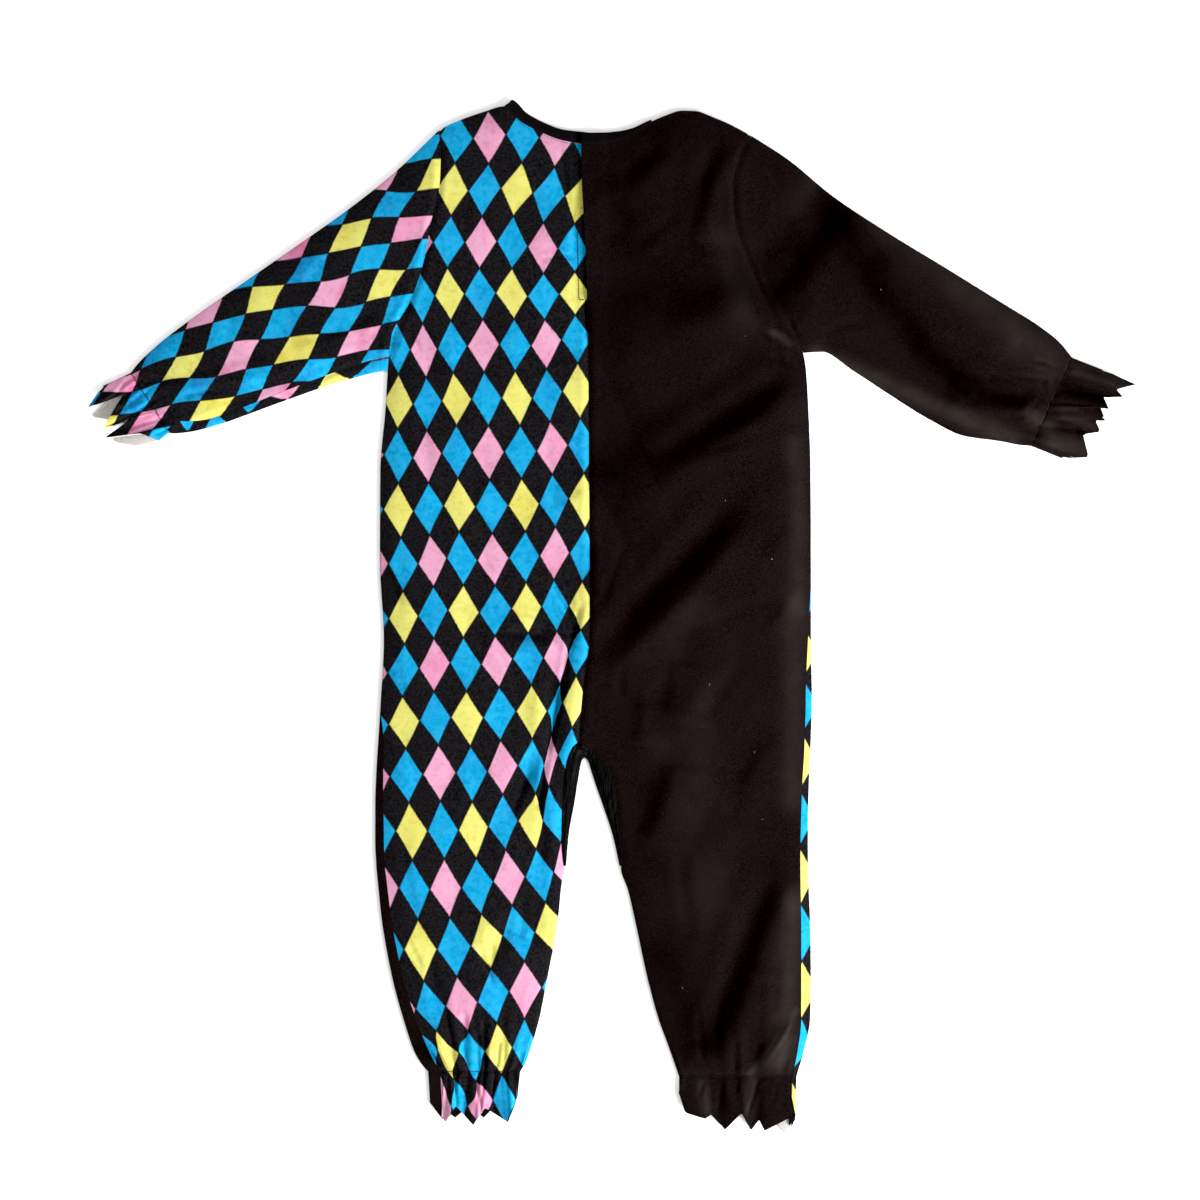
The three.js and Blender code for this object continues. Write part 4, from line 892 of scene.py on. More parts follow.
def clothWall(name, grid, cells, materials, thickness=cloth["thickness"]):
    # grid: rows by columns of x, y, z in mm on the cloth's middle; cells: its place in the print
    along, across = np.gradient(grid, axis=0), np.gradient(grid, axis=1)
    normal = np.cross(across, along)
    normal /= np.maximum(np.linalg.norm(normal, axis=2, keepdims=True), 1e-9)
    if (normal[..., 2] * (grid[..., 2] - foldCentre)).sum() < 0:
        normal = -normal
    rows, columns = grid.shape[:2]
    outer = grid + normal * thickness / 2
    inner = grid - normal * thickness / 2
    points = np.concatenate([outer.reshape(-1, 3), inner.reshape(-1, 3)])
    points[:, 2] = np.maximum(points[:, 2], cloth["floorGap"])
    points[:, :2] -= middle
    index = np.arange(rows * columns).reshape(rows, columns)
    a, b, c, d = index[:-1, :-1], index[1:, :-1], index[1:, 1:], index[:-1, 1:]
    top = np.stack([a, b, c, d], axis=-1).reshape(-1, 4)
    under = rows * columns
    bottom = np.stack([a, d, c, b], axis=-1).reshape(-1, 4) + under

    def rim(first, second):
        return np.stack([first, second, second + under, first + under], axis=-1)

    sides = np.concatenate([rim(index[1:, 0], index[:-1, 0]), rim(index[:-1, -1], index[1:, -1]),
                            rim(index[0, :-1], index[0, 1:])])
    hem = rim(index[-1, 1:], index[-1, :-1])
    faces = np.concatenate([top, bottom, sides, hem])
    p = points[faces[: len(top)]]
    facing = np.cross(p[:, 1] - p[:, 0], p[:, 3] - p[:, 0])
    if (facing * normal[:-1, :-1].reshape(-1, 3)).sum() < 0:
        faces = faces[:, ::-1]
    mesh = bpy.data.meshes.new(name)
    mesh.from_pydata((points * mm).tolist(), [], faces.tolist())
    slots = np.zeros(len(faces), np.int32)
    if len(materials) > 1:
        slots[len(top):len(top) + len(bottom)] = 1
        slots[-len(hem):] = 1
    for material in materials:
        mesh.materials.append(material)
    mesh.polygons.foreach_set("material_index", slots)
    layer = mesh.uv_layers.new(name="clothMap")
    places = np.tile(cells.reshape(-1, 2), (2, 1))[faces.reshape(-1)]
    layer.data.foreach_set("uv", places.astype(np.float32).ravel())
    if materials[0] is not finishes["binding"]:
        # painted shade and light, stored on the cloth's points for the materials
        foldShadeAndLight = mesh.attributes.new("foldShadeAndLight", "FLOAT", "POINT")
        tone = shadeAndLightTone(points[:, 0] + middle[0], points[:, 1] + middle[1])
        foldShadeAndLight.data.foreach_set("value", tone.astype(np.float32))
    mesh.shade_smooth()
    mesh.set_sharp_from_angle(angle=math.radians(cloth["sharpFrom"]))
    mesh.update()
    piece = bpy.data.objects.new(name, mesh)
    bpy.context.scene.collection.objects.link(piece)
    print(name, len(mesh.polygons), "faces")
    return piece


def dress(piece, node):
    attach(piece, "root")
    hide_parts(node)


# the print's place on the cloth
# row, then x of the columns -2, 0, 2 and 4 and height of the columns -2, 0 and 2

bodyPrint = [
    (-6, -194, -137, -77, -16, 522, 524, 524), (-4, -194.5, -137.5, -78.8, -18.2, 424, 426.8, 426),
    (-2, -199, -143.7, -86.8, -32.5, 334, 333.3, 330.6),
    (0, -189.1, -141.1, -85.9, -30.7, 238, 239, 241.6),
    (2, -189.1, -135.7, -78.8, -24.5, 142.8, 144.6, 147.3),
    (4, -184.7, -133.1, -76.1, -23.6, 47.6, 50.3, 53),
    (6, -183.8, -128.6, -71.6, -24.5, -47.6, -41.4, -37.8),
    (8, -181.1, -124.2, -70.8, -31.6, -142, -137.5, -133.1),
    (10, -173.1, -117, -62.7, -17, -242.5, -238.1, -229.2),
    (12, -162.4, -103.7, -46.7, 6, -347.5, -338.6, -323.5),
    (13, -146.4, -98.3, -53.8, -20, -388.5, -386.7, -374.3),
    (14, -136, -94, -52, -20, -433, -431, -431), (15, -136, -94, -52, -20, -480, -478, -478),
]
# row, then x and height of the columns -2, 0, 2 and 4
sleevePrint = [
    (-5, -147.3, 465.9, -117.0, 421.4, -86.8, 376.9, -58.3, 335.1),
    (-4, -184.7, 438.3, -154.4, 393.8, -124.2, 349.3, -95.7, 307.5),
    (-3, -222.1, 410.7, -191.8, 366.2, -161.5, 321.7, -134.8, 279.9),
    (-2, -260.3, 381.4, -229.2, 339.5, -198.9, 295.0, -173.1, 254.1),
    (-1, -297.7, 352.9, -267.4, 310.2, -237.2, 265.7, -212.3, 224.7),
    (0, -339.5, 324.4, -307.5, 281.7, -275.5, 238.1, -252.3, 195.4),
    (1, -375.1, 293.3, -343.1, 252.3, -316.4, 209.6, -293.3, 177.6),
    (2, -411.6, 258.5, -381.4, 221.2, -355.6, 183.8, -331.5, 148.2),
    (3, -447.2, 220.3, -418.7, 191.8, -400.9, 157.1, -383.1, 121.5),
    (4, -490.0, 222.0, -456.1, 162.4, -438.3, 127.7, -420.5, 94.8),
    (5, -532.0, 221.0, -492.0, 136.0, -474.0, 101.0, -456.0, 68.0),
]
sidePrint = [(-2, 112), (-1, 64), (0, 16), (1, -31.2), (2, -79.2), (3, -128.2), (4, -179.3),
             (5, -230.1), (6, -280.8), (7, -331.5), (8, -382.3), (9, -431.2), (10, -480)]
printPitch = 28                # width of a diamond, mm
printRise = 47                 # its height


def solvePrint(place, x, y, startU, startV):
    # finds the cell of each point, where place(u, v) gives the point of a cell
    u, v = startU.copy(), startV.copy()
    small = 0.05
    for _ in range(9):
        px, py = place(u, v)
        ux, uy = place(u + small, v)
        vx, vy = place(u, v + small)
        a, b = (ux - px) / small, (vx - px) / small
        c, d = (uy - py) / small, (vy - py) / small
        over = a * d - b * c
        over = np.where(np.abs(over) < 1, np.sign(over) + (over == 0), over)
        du = (d * (x - px) - b * (y - py)) / over
        dv = (a * (y - py) - c * (x - px)) / over
        u, v = u + np.clip(du, -2, 2), v + np.clip(dv, -2, 2)
    return u, v


# the deep lengthwise fold above the crotch takes up some of the cloth
deepFold = {
    "line": [(14.7, -24.5), (-25.4, -36), (-61.9, -43.2), (-85, -49.4), (-123.3, -56.5),
             (-163.3, -62.7)],         # height and x
    "width": 2.2, "reach": 14,
    "across": 0.23, "down": 0.17,      # what it takes up, in cells
}


def bodyCells(x, y):
    columns = [curveThrough([(row[0], row[i]) for row in bodyPrint]) for i in range(1, 8)]
    squeeze = curveThrough([(-6, 1), (10, 1), (12, 0.8), (13, 0.55), (15, 0.5)])

    def place(u, v):
        far, mid, near, seam = (columns[i](v) for i in range(4))
        farY, midY, nearY = (columns[i](v) for i in range(4, 7))
        outside, inside = (mid - far) / 2, (seam - near) / 2
        squeezed = np.where(u < -2, -2 + (u + 2) * squeeze(v), u)
        px = np.where(u < 0, mid + outside * squeezed, np.where(
            u < 2, mix(mid, near, u / 2), near + inside * (u - 2)))
        tilt, bend = (nearY - farY) / 4, (nearY + farY - 2 * midY) / 8
        return px, midY + tilt * u + bend * u * u

    u, v = solvePrint(place, x, y, (x + 135) / printPitch, (239 - y) / printRise)
    foldX = curveThrough(deepFold["line"])(y)
    felt = smooth((15 - y) / 60) * smooth((y + 200) / 40)
    side = np.tanh((x - foldX) / deepFold["width"])
    near = np.where(x > foldX, 1, np.exp(-np.abs(x - foldX) / deepFold["reach"]))
    u = u + deepFold["across"] * side * near * felt
    v = v + deepFold["down"] * np.maximum(side, 0) * felt * smooth((y + 190) / 60)
    # bent edges where the cloth is gathered above the left ankle
    gathered = smooth((-360 - y) / 25) * smooth((-95 - x) / 30)
    u = u + 0.06 * gathered * np.sin(y / 4.2 + x / 9)
    v = v + 0.07 * gathered * np.sin(x / 3.6 + 1)
    u = u + 0.03 * np.sin(v * 1.7 + x * 0.02) + 0.025 * np.sin(y * 0.08 + x * 0.03)
    v = v + 0.03 * np.sin(u * 1.9 + v * 0.6) + 0.02 * np.sin(x * 0.12)
    return np.stack([u, v], axis=-1)


def sleeveCells(x, y):
    columns = [curveThrough([(row[0], row[i]) for row in sleevePrint]) for i in range(1, 9)]

    def place(u, v):
        ax, ay, bx, by, cx, cy, dx, dy = (column(v) for column in columns)
        back, near, far = np.minimum(u, 0) / 2, np.clip(u, 0, 2) / 2, np.maximum(u - 2, 0) / 2
        return (bx + (bx - ax) * back + (cx - bx) * near + (dx - cx) * far,
                by + (by - ay) * back + (cy - by) * near + (dy - cy) * far)

    u, v = solvePrint(place, x, y, np.zeros(x.shape), (-290 - x) / 38)
    u = u + 0.06 * np.sin(v * 2.3 + 1) + 0.04 * np.sin(x * 0.06 + y * 0.09)
    v = v + 0.05 * np.sin(u * 2.6 + v * 0.8) + 0.03 * np.sin(x * 0.11)
    return u, v


# along the left sleeve's rolled underarm seam: x, then the column and the row
rollPrint = [(-212.3, 0.1, 0), (-249.6, 0, -1), (-267, 0.35, -1.5), (-287, 0.55, -2),
             (-310, 0.6, -2.6), (-330, 0.4, -3.3), (-352, 0.05, -4), (-376, 0.5, -5),
             (-400, 0.05, -6), (-427, 0.2, -7)]


def rollCells(x, fromEdge):
    column = curveThrough([(row[0], row[1]) for row in rollPrint])
    level = curveThrough([(row[0], row[2]) for row in rollPrint])
    return column(x) + fromEdge / printPitch, level(x)


def sideCells(reach, y):
    rows = curveThrough([(height, row) for row, height in sidePrint])
    return np.stack([(8 - reach) / printPitch, rows(y) + 0 * reach], axis=-1)


def plainCells(x, y):
    return np.stack([x / printPitch + 0 * y, y / printRise + 0 * x], axis=-1)


# body panels

bodyPanel = {
    "rows": 330, "ruffleRows": 20,
    "backEnds": [0, 0.35, 0.8, 1.3, 1.9],      # steps in from an edge, mm
    "frontEnds": [0, 0.5, 1.1, 1.8],
    "backMargin": 2.6, "frontMargin": 2.4, "foldMargin": 3.8, "foldStart": -3.5,
    "backColumns": 66, "frontColumns": 22, "rollColumns": 26,
    "cut": (0.215, 0.93), "area": 0.147,       # of each of the four, m
}
gathers = {"height": 1.7, "reach": 24, "wave": 3.2, "underWave": 0.3}


def bodyRows(half):
    y = np.linspace(half["shoulder"], half["elastic"], bodyPanel["rows"])
    extra = np.arange(1, bodyPanel["ruffleRows"] + 1) / bodyPanel["ruffleRows"]
    y = np.concatenate([y, np.full(len(extra), half["elastic"])])
    ruffle = np.concatenate([np.zeros(bodyPanel["rows"]), extra])
    return y[:, None], ruffle[:, None]


def acrossBody(half, y, ruffle, at, layer, column=None):
    # places across the body: at is 0 on the centre or inner leg, 1 on the side
    column = at if column is None else column
    line = half["topLine"] if layer == "hem" else half["frontLine"]
    felt = smooth((y - half["shoulder"] + cloth["blendDepth"]) / cloth["blendDepth"])
    level = y + (line(at) - half["shoulder"]) * felt
    x = mix(half["inner"](level), half["side"](level), at)
    return (mix(x, half[layer + "X"](column), ruffle), mix(level, half[layer + "Y"](column), ruffle))


def gatherLift(at, distance, ruffle, count):
    # uneven gathers beside an elastic, and the ruffle's waves below it
    turn = at * 2 * math.pi
    wave = (0.55 * np.cos(turn * count + 1.1 * np.sin(turn * 2)) + 0.3 * np.cos(turn * count * 0.62 + 1)
            + 0.25 * np.cos(turn * count * 1.7 + 2))
    near = np.exp(-distance / gathers["reach"]) * smooth(distance / 5)
    flare = gathers["wave"] * ruffle * (0.5 - 0.5 * np.cos(turn * 3 + 0.8 * np.sin(turn)))
    pinch = np.where(ruffle > 0, 0.35 + 0.3 * np.exp(-ruffle * 3), near)
    return gathers["height"] * (0.55 + wave) * pinch + flare


def hemFolds(x, y, ruffle):
    x, y, ruffle = np.broadcast_arrays(x, y, ruffle)
    return foldRise(hemCreases, x, y) * smooth(ruffle * 4)


def waveUnder(part, ruffle):
    return gathers["wave"] * gathers["underWave"] * ruffle * (0.5 - 0.5 * np.cos(part * 8 * math.pi))


def lowHeight(x, y):
    return np.full(np.broadcast(x, y).shape, cloth["lowerMid"])


def panelEnd(line, flatX, way, height, flatHeight, reach, folded):
    # one end of a panel's rows, folded where it is an edge and flat where it meets a seam
    flatY = line[1] + 0 * flatX
    flat = (flatX, flatY, flatHeight(flatX, flatY))
    turned = foldPlaces(height, line, (way, 0), reach)
    return [np.where(folded, t, f) for t, f in zip(turned, flat)]


def joinColumns(parts):
    return np.stack([np.concatenate(same, axis=1) for same in zip(*parts)], axis=-1)


def backPanel(half, height, cells, name, materials):
    y, ruffle = bodyRows(half)
    toCentre = half["toCentre"]
    leg = y < cloth["gussetEnd"]
    armhole = (y > half["underarm"]) & (ruffle == 0)
    ends = np.array(bodyPanel["backEnds"])[None, :] + cloth["seamGap"] / 2
    edge = acrossBody(half, y, ruffle, np.array([[0.0]]), "hem")
    side = acrossBody(half, y, ruffle, np.array([[1.0]]), "hem")
    roll = half["roll"](y)
    width = np.abs(side[0] - edge[0])
    under = 0
    if half is leftHalf:
        under = slit["underlap"] * smooth((edge[1] - slit["end"] - 4) / 12)
    flatX = edge[0] + under - toCentre * ends
    start = panelEnd(edge, flatX, -toCentre, height, height, ends + 0 * y, leg)

    share = np.linspace(0, 1, bodyPanel["backColumns"])[None, :]
    margin = bodyPanel["backMargin"]
    at = mix(margin / width, 1 - (roll + foldOut + margin) / width, share)
    x, level = acrossBody(half, y, ruffle, at, "hem", share * half["lastColumn"])
    lift = gatherLift(share, np.abs(y - half["elastic"]), ruffle, half["gathers"])
    lift = np.where(leg, lift * half["gatherHeight"], 0) + hemFolds(x, level, ruffle)
    centre = (x, level, height(x, level) + lift)

    turned = ends[:, ::-1]
    flatX = side[0] + toCentre * turned
    finish = panelEnd(side, flatX, toCentre, height, height, roll + turned, ~armhole)
    finish[1] = finish[1] - half["rollDrop"] * ruffle
    grid = joinColumns([start, centre, finish])
    return clothWall(name, grid, cells(grid[..., 0], grid[..., 1]), materials)


def frontPanel(half, height, name, materials):
    y, ruffle = bodyRows(half)
    toCentre = half["toCentre"]
    leg = y < cloth["gussetEnd"]
    armhole = (y > half["underarm"]) & (ruffle == 0)
    ends = np.array(bodyPanel["frontEnds"])[None, :] + cloth["seamGap"] / 2
    edge = acrossBody(half, y, ruffle, np.array([[0.0]]), "underHem")
    side = acrossBody(half, y, ruffle, np.array([[1.0]]), "underHem")
    roll = half["roll"](y) - cloth["seamGap"] / 2
    width = np.abs(side[0] - edge[0])
    flatX = edge[0] - toCentre * ends
    start = panelEnd(edge, flatX, -toCentre, height, lowHeight, -ends + 0 * y, leg)

    share = np.linspace(0, 1, bodyPanel["frontColumns"])[None, :]
    last = 1 - (foldOut + bodyPanel["foldMargin"]) / width
    at = mix(bodyPanel["frontMargin"] / width, last, share)
    x, level = acrossBody(half, y, ruffle, at, "underHem", share)
    centre = (x, level, lowHeight(x, level) + waveUnder(share, ruffle))

    share = np.linspace(0, 1, bodyPanel["rollColumns"])[None, :]
    reach = mix(bodyPanel["foldStart"], roll, share)
    flatX = side[0] + toCentre * (roll - reach + cloth["seamGap"] / 2)
    finish = panelEnd(side, flatX, toCentre, height, lowHeight, reach, ~armhole)
    finish[1] = finish[1] - half["rollDrop"] * ruffle * np.clip(reach / roll, 0, 1)
    grid = joinColumns([start, centre, finish])
    fromSide = -np.abs(side[0] - grid[..., 0])
    fromSide[:, -bodyPanel["rollColumns"]:] = reach
    return clothWall(name, grid, sideCells(fromSide, grid[..., 1]), materials)


printed, plain = [finishes["print"], finishes["reverse"]], [finishes["black"]]
bodyPieces = {
    "back_left": backPanel(leftHalf, leftHeight, bodyCells, "backLeft", printed),
    "back_right": backPanel(rightHalf, rightHeight, plainCells, "backRight", plain),
    "front_left": frontPanel(leftHalf, upperHeight, "frontLeft", plain),
    "front_right": frontPanel(rightHalf, upperHeight, "frontRight", printed),
}
for node, piece in bodyPieces.items():
    dress(piece, node)
print("body panels are made")

# sleeves

sleeveTubes = {
    "rows": 130, "ruffleRows": 16, "upperColumns": 54, "lowerColumns": 34, "rollColumns": 8,
    "leftCut": (0.43, 0.36), "leftArea": 0.07,         # m
    "rightCut": (0.43, 0.38), "rightArea": 0.085,
}
# share of the sleeve's length, and how wide its lower layer is rolled over the upper one
leftSleeve["rollWidth"] = curveThrough([(0, 12.5), (0.1, 12), (0.28, 9.5), (0.42, 8.4), (0.63, 7),
                                        (0.8, 11), (0.9, 6.5), (1, 4)])
rightSleeve["rollWidth"] = curveThrough([(0, 7), (0.5, 8), (1, 6)])


def sleeveTube(arm, height, name, materials):
    half = arm["half"]
    extra = np.arange(1, sleeveTubes["ruffleRows"] + 1) / sleeveTubes["ruffleRows"]
    t = np.concatenate([np.linspace(0, 1, sleeveTubes["rows"]), np.ones(len(extra))])[:, None]
    ruffle = np.concatenate([np.zeros(sleeveTubes["rows"]), extra])[:, None]
    count = len(arm["sections"]) - 1
    curves = [curveThrough([(i / count, row[k]) for i, row in enumerate(arm["sections"])])
              for k in range(4)]
    hem = {layer: [lineThrough([(row[0], row[k]) for row in arm[layer]]) for k in (1, 2)]
           for layer in ("hem", "underHem")}

    def place(at, layer):
        upX, upY, lowX, lowY = (curve(t) for curve in curves)
        armY = mix(half["shoulder"], half["underarm"], at)
        seamX = half["side"](armY) - half["toCentre"] * cloth["seamGap"]
        bent = (1 - t) ** 2 * (seamX - mix(curves[0](0), curves[2](0), at))
        x, y = mix(upX, lowX, at) + bent, mix(upY, lowY, at)
        return mix(x, hem[layer][0](at), ruffle), mix(y, hem[layer][1](at), ruffle)

    top, bottom = place(np.array([[0.0]]), "hem"), place(np.array([[1.0]]), "hem")
    length = np.hypot(bottom[0] - top[0], bottom[1] - top[1])
    down = ((bottom[0] - top[0]) / length, (bottom[1] - top[1]) / length)
    up = (-down[0], -down[1])
    seam = arm["rollWidth"](t) * (1 - 0.4 * ruffle)
    margin = (foldOut + 1.2) / length

    def columns(start, end, key):
        return mix(start, end, np.linspace(0, 1, sleeveTubes[key])[None, :])

    upperAt = columns(1 - (seam + 0.1) / length, margin, "upperColumns")
    lowerAt = columns(margin, 1 - margin, "lowerColumns")
    rollAt = columns(1 - margin, 1 - (seam - 0.1) / length, "rollColumns")
    turn = np.linspace(1, -1, 9)[None, :] * quarterFold + 0 * t
    distance = (1 - t) * 300

    def onTop(at):
        x, y = place(at, "hem")
        lift = np.where(t > 0.5, gatherLift(at, distance, ruffle, 7), 0)
        return x, y, height(x, y) + lift + hemFolds(x, y, ruffle)

    lowX, lowY = place(lowerAt, "underHem")
    lowZ = cloth["lowerMid"] + waveUnder(lowerAt, ruffle)
    parts = [onTop(upperAt), foldPlaces(height, top, down, turn), (lowX, lowY, lowZ),
             foldPlaces(height, bottom, up, -turn), onTop(rollAt)]
    grid = joinColumns(parts)
    if materials is plain:
        return clothWall(name, grid, plainCells(grid[..., 0], grid[..., 1]), materials)
    u, v = sleeveCells(grid[..., 0], grid[..., 1])
    topU = sleeveCells(*top)[0]
    starts = np.cumsum([part[0].shape[1] for part in parts])
    firstUnder, firstRolled = starts[0] + 4, starts[2] + 4     # the middles of the two edge folds
    u[:, firstUnder:firstRolled] = 2 * topU - u[:, firstUnder:firstRolled]
    fromEdge = np.zeros(u.shape)
    fromEdge[:, starts[3]:] = (1 - rollAt) * length
    rollU, rollV = rollCells(grid[..., 0], fromEdge)
    u[:, firstRolled:] = rollU[:, firstRolled:]
    v[:, firstRolled:] = rollV[:, firstRolled:] - 1
    return clothWall(name, grid, np.stack([u, v + 1], axis=-1), materials)


sleeves = {
    "sleeve_left": sleeveTube(leftSleeve, upperHeight, "sleeveLeft", printed),
    "sleeve_right": sleeveTube(rightSleeve, upperHeight, "sleeveRight", plain),
}
dress(sleeves["sleeve_left"], "sleeve_left")
dress(sleeves["sleeve_right"], "sleeve_right")
print("sleeves are made")

# neck bindings and gusset


neckBindings = {
    "rows": 70, "slitRows": 4, "shoulderRows": 14, "columns": 9,
    "thickness": 1.3, "puff": 0.5, "frontWidth": 9.5, "frontRise": 0.3,
    # width and length of each cut strip, m
    "neck_binding_back_left": (0.0105, 0.081), "neck_binding_back_right": (0.0101, 0.068),
    "neck_binding_front_left": (0.0105, 0.085), "neck_binding_front_right": (0.0105, 0.1),
}


def neckBinding(name, half, layer, height, widthAt, endAt, underlap=0.0):
    at = np.linspace(0, endAt, neckBindings["rows"])[:, None]
    x, y = acrossBody(half, np.array([[half["shoulder"]]]), 0, at, layer)
    x = x + underlap * smooth((0.15 - at) / 0.15)
    seam = np.stack([x.ravel(), y.ravel()], axis=-1)
    way = np.gradient(seam, axis=0)
    way /= np.linalg.norm(way, axis=1, keepdims=True)
    out = np.stack([-way[:, 1], way[:, 0]], axis=-1) * np.sign(way[:, :1])
    # the ends turn to follow the slit and the shoulder
    first, last = neckBindings["slitRows"], neckBindings["shoulderRows"]
    out[:first] = mix(np.array([0.0, 1.0]), out[:first], np.linspace(0, 1, first)[:, None])
    if half is leftHalf and layer == "hem":
        share = np.linspace(0, 1, last)[:, None] ** 2
        out[-last:] = mix(out[-last:], np.array([0.8, 0.6]), share)
    share = np.linspace(0, 1, neckBindings["columns"])[None, :]
    away = mix(cloth["seamGap"], widthAt(at), share)
    x = seam[:, :1] + out[:, :1] * away
    y = seam[:, 1:] + out[:, 1:] * away
    puff = neckBindings["puff"] * (1 - (2 * share - 1) ** 4) - 0.2
    grid = np.stack([x, y, height(x, y) + puff], axis=-1)
    return clothWall(name, grid, plainCells(x, y), [finishes["binding"]], neckBindings["thickness"])


def frontBinding(name, half):
    def height(x, y):
        return lowHeight(x, y) + neckBindings["frontRise"]

    def widthAt(at):
        return neckBindings["frontWidth"]

    return neckBinding(name, half, "underHem", height, widthAt, half["frontNeckAt"])


bindings = {
    "neck_binding_back_left": neckBinding("neckBindingBackLeft", leftHalf, "hem", leftHeight,
                                          leftHalf["bindingWidth"], leftHalf["neckAt"],
                                          slit["underlap"]),
    "neck_binding_back_right": neckBinding("neckBindingBackRight", rightHalf, "hem", rightHeight,
                                           rightHalf["bindingWidth"], rightHalf["neckAt"]),
    "neck_binding_front_left": frontBinding("neckBindingFrontLeft", leftHalf),
    "neck_binding_front_right": frontBinding("neckBindingFrontRight", rightHalf),
}
for node, piece in bindings.items():
    dress(piece, node)

gussetCloth = {"rows": 90, "columns": 31, "cut": (0.05, 0.205), "area": 0.0038,
               "ridge": 0.32, "ridges": 13}          # height and number of its lengthwise ridges


def crotchGusset(height):
    count = len(crotchSteps) - 1
    level = curveThrough([(i, cloth["crotch"] - step) for i, step in enumerate(crotchSteps)])
    place = np.linspace(0, count, gussetCloth["rows"])
    y = level(place)
    arms = []
    for name, half in (("left", leftHalf), ("right", rightHalf)):
        edge = [curveThrough([(i, row[k]) for i, row in enumerate(gussetEdge[name])]) for k in (0, 1)]
        seamX = half["inner"](y) + half["toCentre"] * cloth["seamGap"] * 0.6 * smooth(place)
        arm = np.stack([seamX, y, edge[0](place), edge[1](place)], axis=-1)
        arms.append(arm[::-1] if name == "left" else arm[1:])
    rows = np.concatenate(arms)
    seamX, seamY, edgeX, edgeY = (rows[:, k:k + 1] for k in range(4))
    length = np.hypot(seamX - edgeX, seamY - edgeY)
    way = ((seamX - edgeX) / length, (seamY - edgeY) / length)
    full = np.maximum(length - foldOut, 0.4) + quarterFold
    share = np.linspace(1, -1, gussetCloth["columns"])[None, :]
    grid = np.stack(foldPlaces(height, (edgeX, edgeY), way, full * share), axis=-1)
    wander = 0.6 * np.sin(np.linspace(0, 9, len(rows)))[:, None]
    ridge = gussetCloth["ridge"] * np.cos(share * gussetCloth["ridges"] + wander)
    grid[..., 2] += ridge * smooth(share * 6) * smooth((1 - share) * 8)
    return clothWall("crotchGusset", grid, plainCells(grid[..., 0], grid[..., 1]),
                     [finishes["satin"]])


gusset = crotchGusset(upperHeight)
dress(gusset, "crotch_gusset")
print("bindings and gusset are made")

# sewing threads, on the upper surface


def upperSurface():
    places, faces, count = [], [], 0
    for piece in [*bodyPieces.values(), *sleeves.values(), *bindings.values()]:
        mesh = piece.data
        points = np.empty(len(mesh.vertices) * 3, np.float32)
        mesh.vertices.foreach_get("co", points)
        corners = np.empty(len(mesh.loops), np.int32)
        mesh.loops.foreach_get("vertex_index", corners)
        places.append(points.reshape(-1, 3))
        faces.append(corners.reshape(-1, 4) + count)
        count += len(mesh.vertices)
    return BVHTree.FromPolygons(np.concatenate(places).tolist(), np.concatenate(faces).tolist())


surface = upperSurface()


def onCloth(x, y):
    # the top of the cloth above a place given in mm
    above = Vector(((x - middle[0]) * mm, (y - middle[1]) * mm, 0.05))
    hit = surface.ray_cast(above, Vector((0, 0, -1)))[0]
    return None if hit is None else hit / mm


def lifted(place, rise):
    return (place[0], place[1], place[2] + rise)


class Threads:
    # short thin tubes gathered into one piece

    def __init__(self, name, finish):
        self.name, self.finish = name, finish
        self.points, self.faces = [], []

    def tube(self, places, radius, sides=6):
        places = [Vector(p) for p in places]
        start = len(self.points)
        for i, place in enumerate(places):
            way = places[min(i + 1, len(places) - 1)] - places[max(i - 1, 0)]
            across = way.cross(Vector((0, 0, 1))).normalized()
            up = across.cross(way).normalized()
            end = 0.45 if i in (0, len(places) - 1) else 1
            for k in range(sides):
                turn = 2 * math.pi * k / sides
                around = across * math.cos(turn) + up * math.sin(turn)
                self.points.append(place + around * radius * end)
        for i in range(len(places) - 1):
            for k in range(sides):
                a, b = start + i * sides + k, start + i * sides + (k + 1) % sides
                self.faces.append((a, b, b + sides, a + sides))
        self.faces.append(tuple(start + k for k in range(sides))[::-1])
        self.faces.append(tuple(start + (len(places) - 1) * sides + k for k in range(sides)))

    def stitches(self, line, step, length, radius):
        # stitches along a line of points, each lying on the cloth
        line = [Vector(p) for p in line]
        ends = [0]
        for a, b in zip(line, line[1:]):
            ends.append(ends[-1] + (b - a).length)
        count = int(ends[-1] / step)
        for i in range(count):
            places = []
            for part in (0, 0.25, 0.5, 0.75, 1):
                far = i * step + part * length
                x = float(np.interp(far, ends, [p[0] for p in line]))
                y = float(np.interp(far, ends, [p[1] for p in line]))
                place = onCloth(x, y)
                if place is None:
                    break
                bow = 0.9 * radius * (1 - (2 * part - 1) ** 2) - 0.02
                places.append(lifted(place, bow))
            if len(places) == 5:
                self.tube(places, radius)

    def make(self):
        mesh = bpy.data.meshes.new(self.name)
        mesh.from_pydata([tuple(p * mm) for p in self.points], [], self.faces)
        mesh.materials.append(finishes[self.finish])
        mesh.shade_smooth()
        piece = bpy.data.objects.new(self.name, mesh)
        bpy.context.scene.collection.objects.link(piece)
        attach(piece, "root")
        print(self.name, len(self.faces), "faces")
        return piece


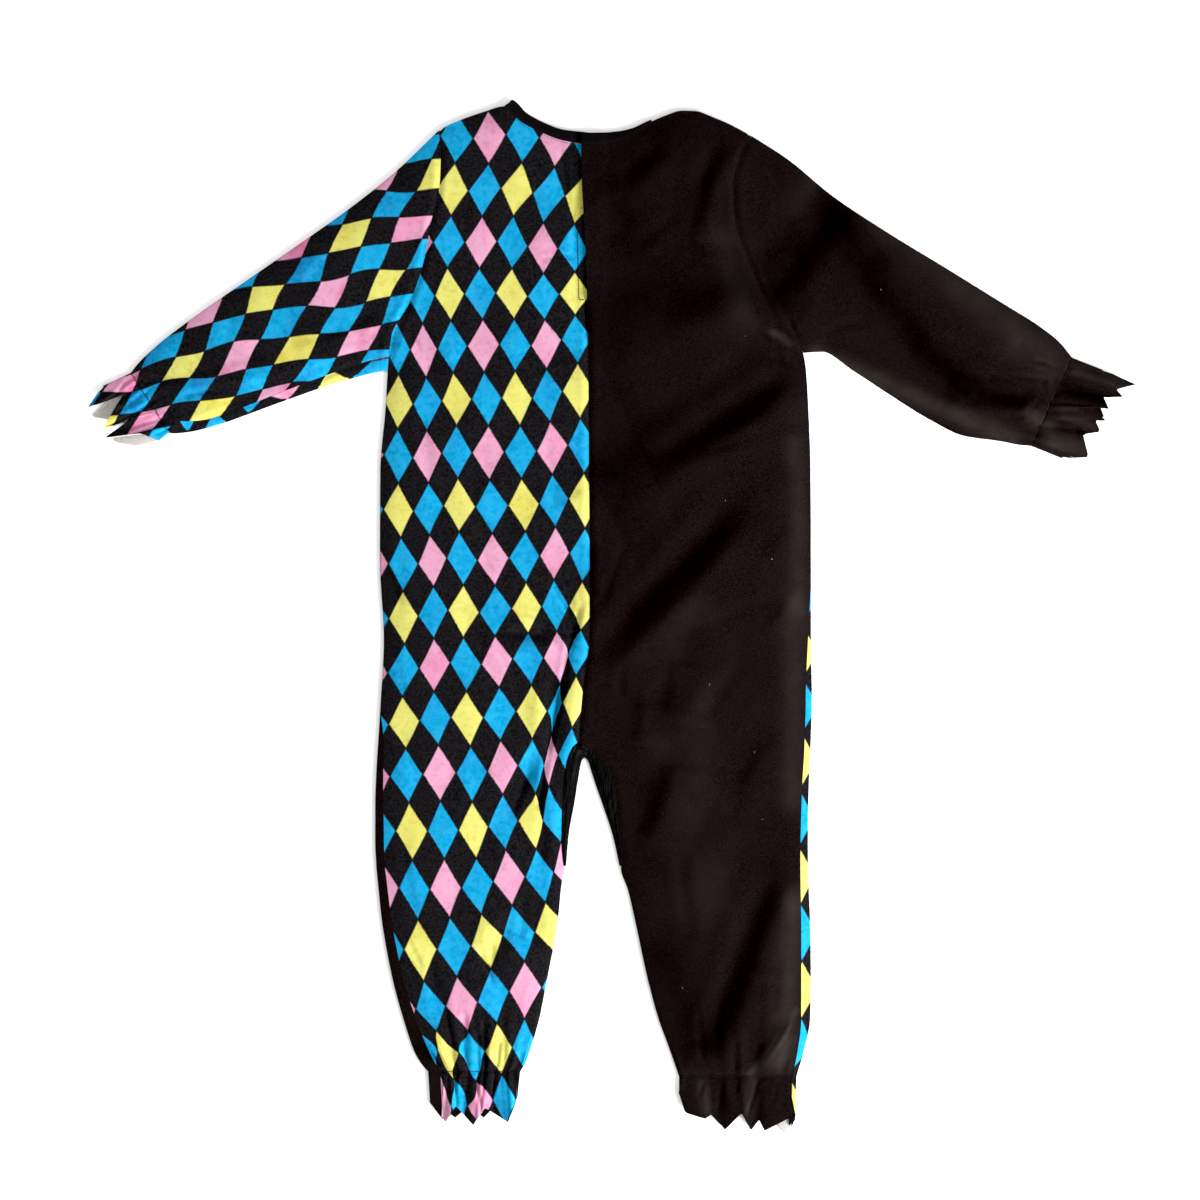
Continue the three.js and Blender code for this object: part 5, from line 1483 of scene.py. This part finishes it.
# lines of x and height; a seam's stitches are step, length and radius
sewn = {
    "elastics": [
        [(-161.5, -404.5), (-80.6, -404.5)],
        [(61.5, -409), (165, -409)],
        [(-425.9, 215.8), (-416.1, 199.8), (-407.2, 189.6), (-403.6, 182.9), (-398.3, 172.2),
         (-393, 164.5)],
        [(411, 229.3), (376.5, 153)],
    ],
    "elasticStitch": (2.7, 2.3, 0.28),
    "slit": [(-29.4, 342), (-28.6, 312), (-28, 283), (-27.4, 281.6), (-22, 281.4)],
    "slitStitch": (2.5, 2.1, 0.3),
    "facing": [(-4.9, 352), (-5, 318), (-5.4, 286)],
    "facingStitch": (3, 1.6, 0.16),
    "bindingInset": 1.4,
    "bindingStitch": (2.6, 1.8, 0.18),
    "loop": [(-27, 362), (-23.5, 364.5), (-20.5, 361.5), (-22, 357.5), (-26.5, 356)],
    "loopRise": 0.4,
    "loopRadius": 0.35,
}
sewing = Threads("sewing", "thread")
for line in sewn["elastics"]:
    sewing.stitches(line, *sewn["elasticStitch"])
sewing.stitches(sewn["slit"], *sewn["slitStitch"])
sewing.stitches(sewn["facing"], *sewn["facingStitch"])
for half in (leftHalf, rightHalf):
    at = np.linspace(0.01, half["neckAt"] - 0.01, 40)[:, None]
    x, y = acrossBody(half, np.array([[half["shoulder"]]]), 0, at, "hem")
    line = list(zip(x.ravel(), y.ravel() - sewn["bindingInset"]))
    sewing.stitches(line, *sewn["bindingStitch"])
loopPlaces = [lifted(onCloth(x, y), sewn["loopRise"]) for x, y in sewn["loop"]]
sewing.tube(loopPlaces, sewn["loopRadius"])
sewing.make()

# places: x, height and way of each speck; step and radius: least, growth, and specks in a round
specks = {
    "places": [(119.7, 248.8, 0.4), (101.9, 102.8, 2.2), (142.9, 51.2, 1.2), (88, -60, 0.9),
               (135, -180, 2.5), (240, 290, 2.2), (128, -120, 1.8), (64, -330, 2.6)],
    "step": (0.28, 0.09, 4), "radius": (0.07, 0.02, 3), "bend": 0.35, "rise": 0.05,
}
lint = Threads("lint", "lint")
for i, (x, y, turn) in enumerate(specks["places"]):
    step, radius = (least + growth * (i % count)
                    for least, growth, count in (specks["step"], specks["radius"]))
    places = []
    for k in range(5):
        far = (k - 2) * step
        bend = specks["bend"] * math.sin(k * 1.3 + i)
        held = onCloth(x + far * math.cos(turn) - bend * math.sin(turn),
                       y + far * math.sin(turn) + bend * math.cos(turn))
        if held is not None:
            places.append(lifted(held, specks["rise"]))
    if len(places) > 2:
        lint.tube(places, radius, 5)
lint.make()
print("threads are made")
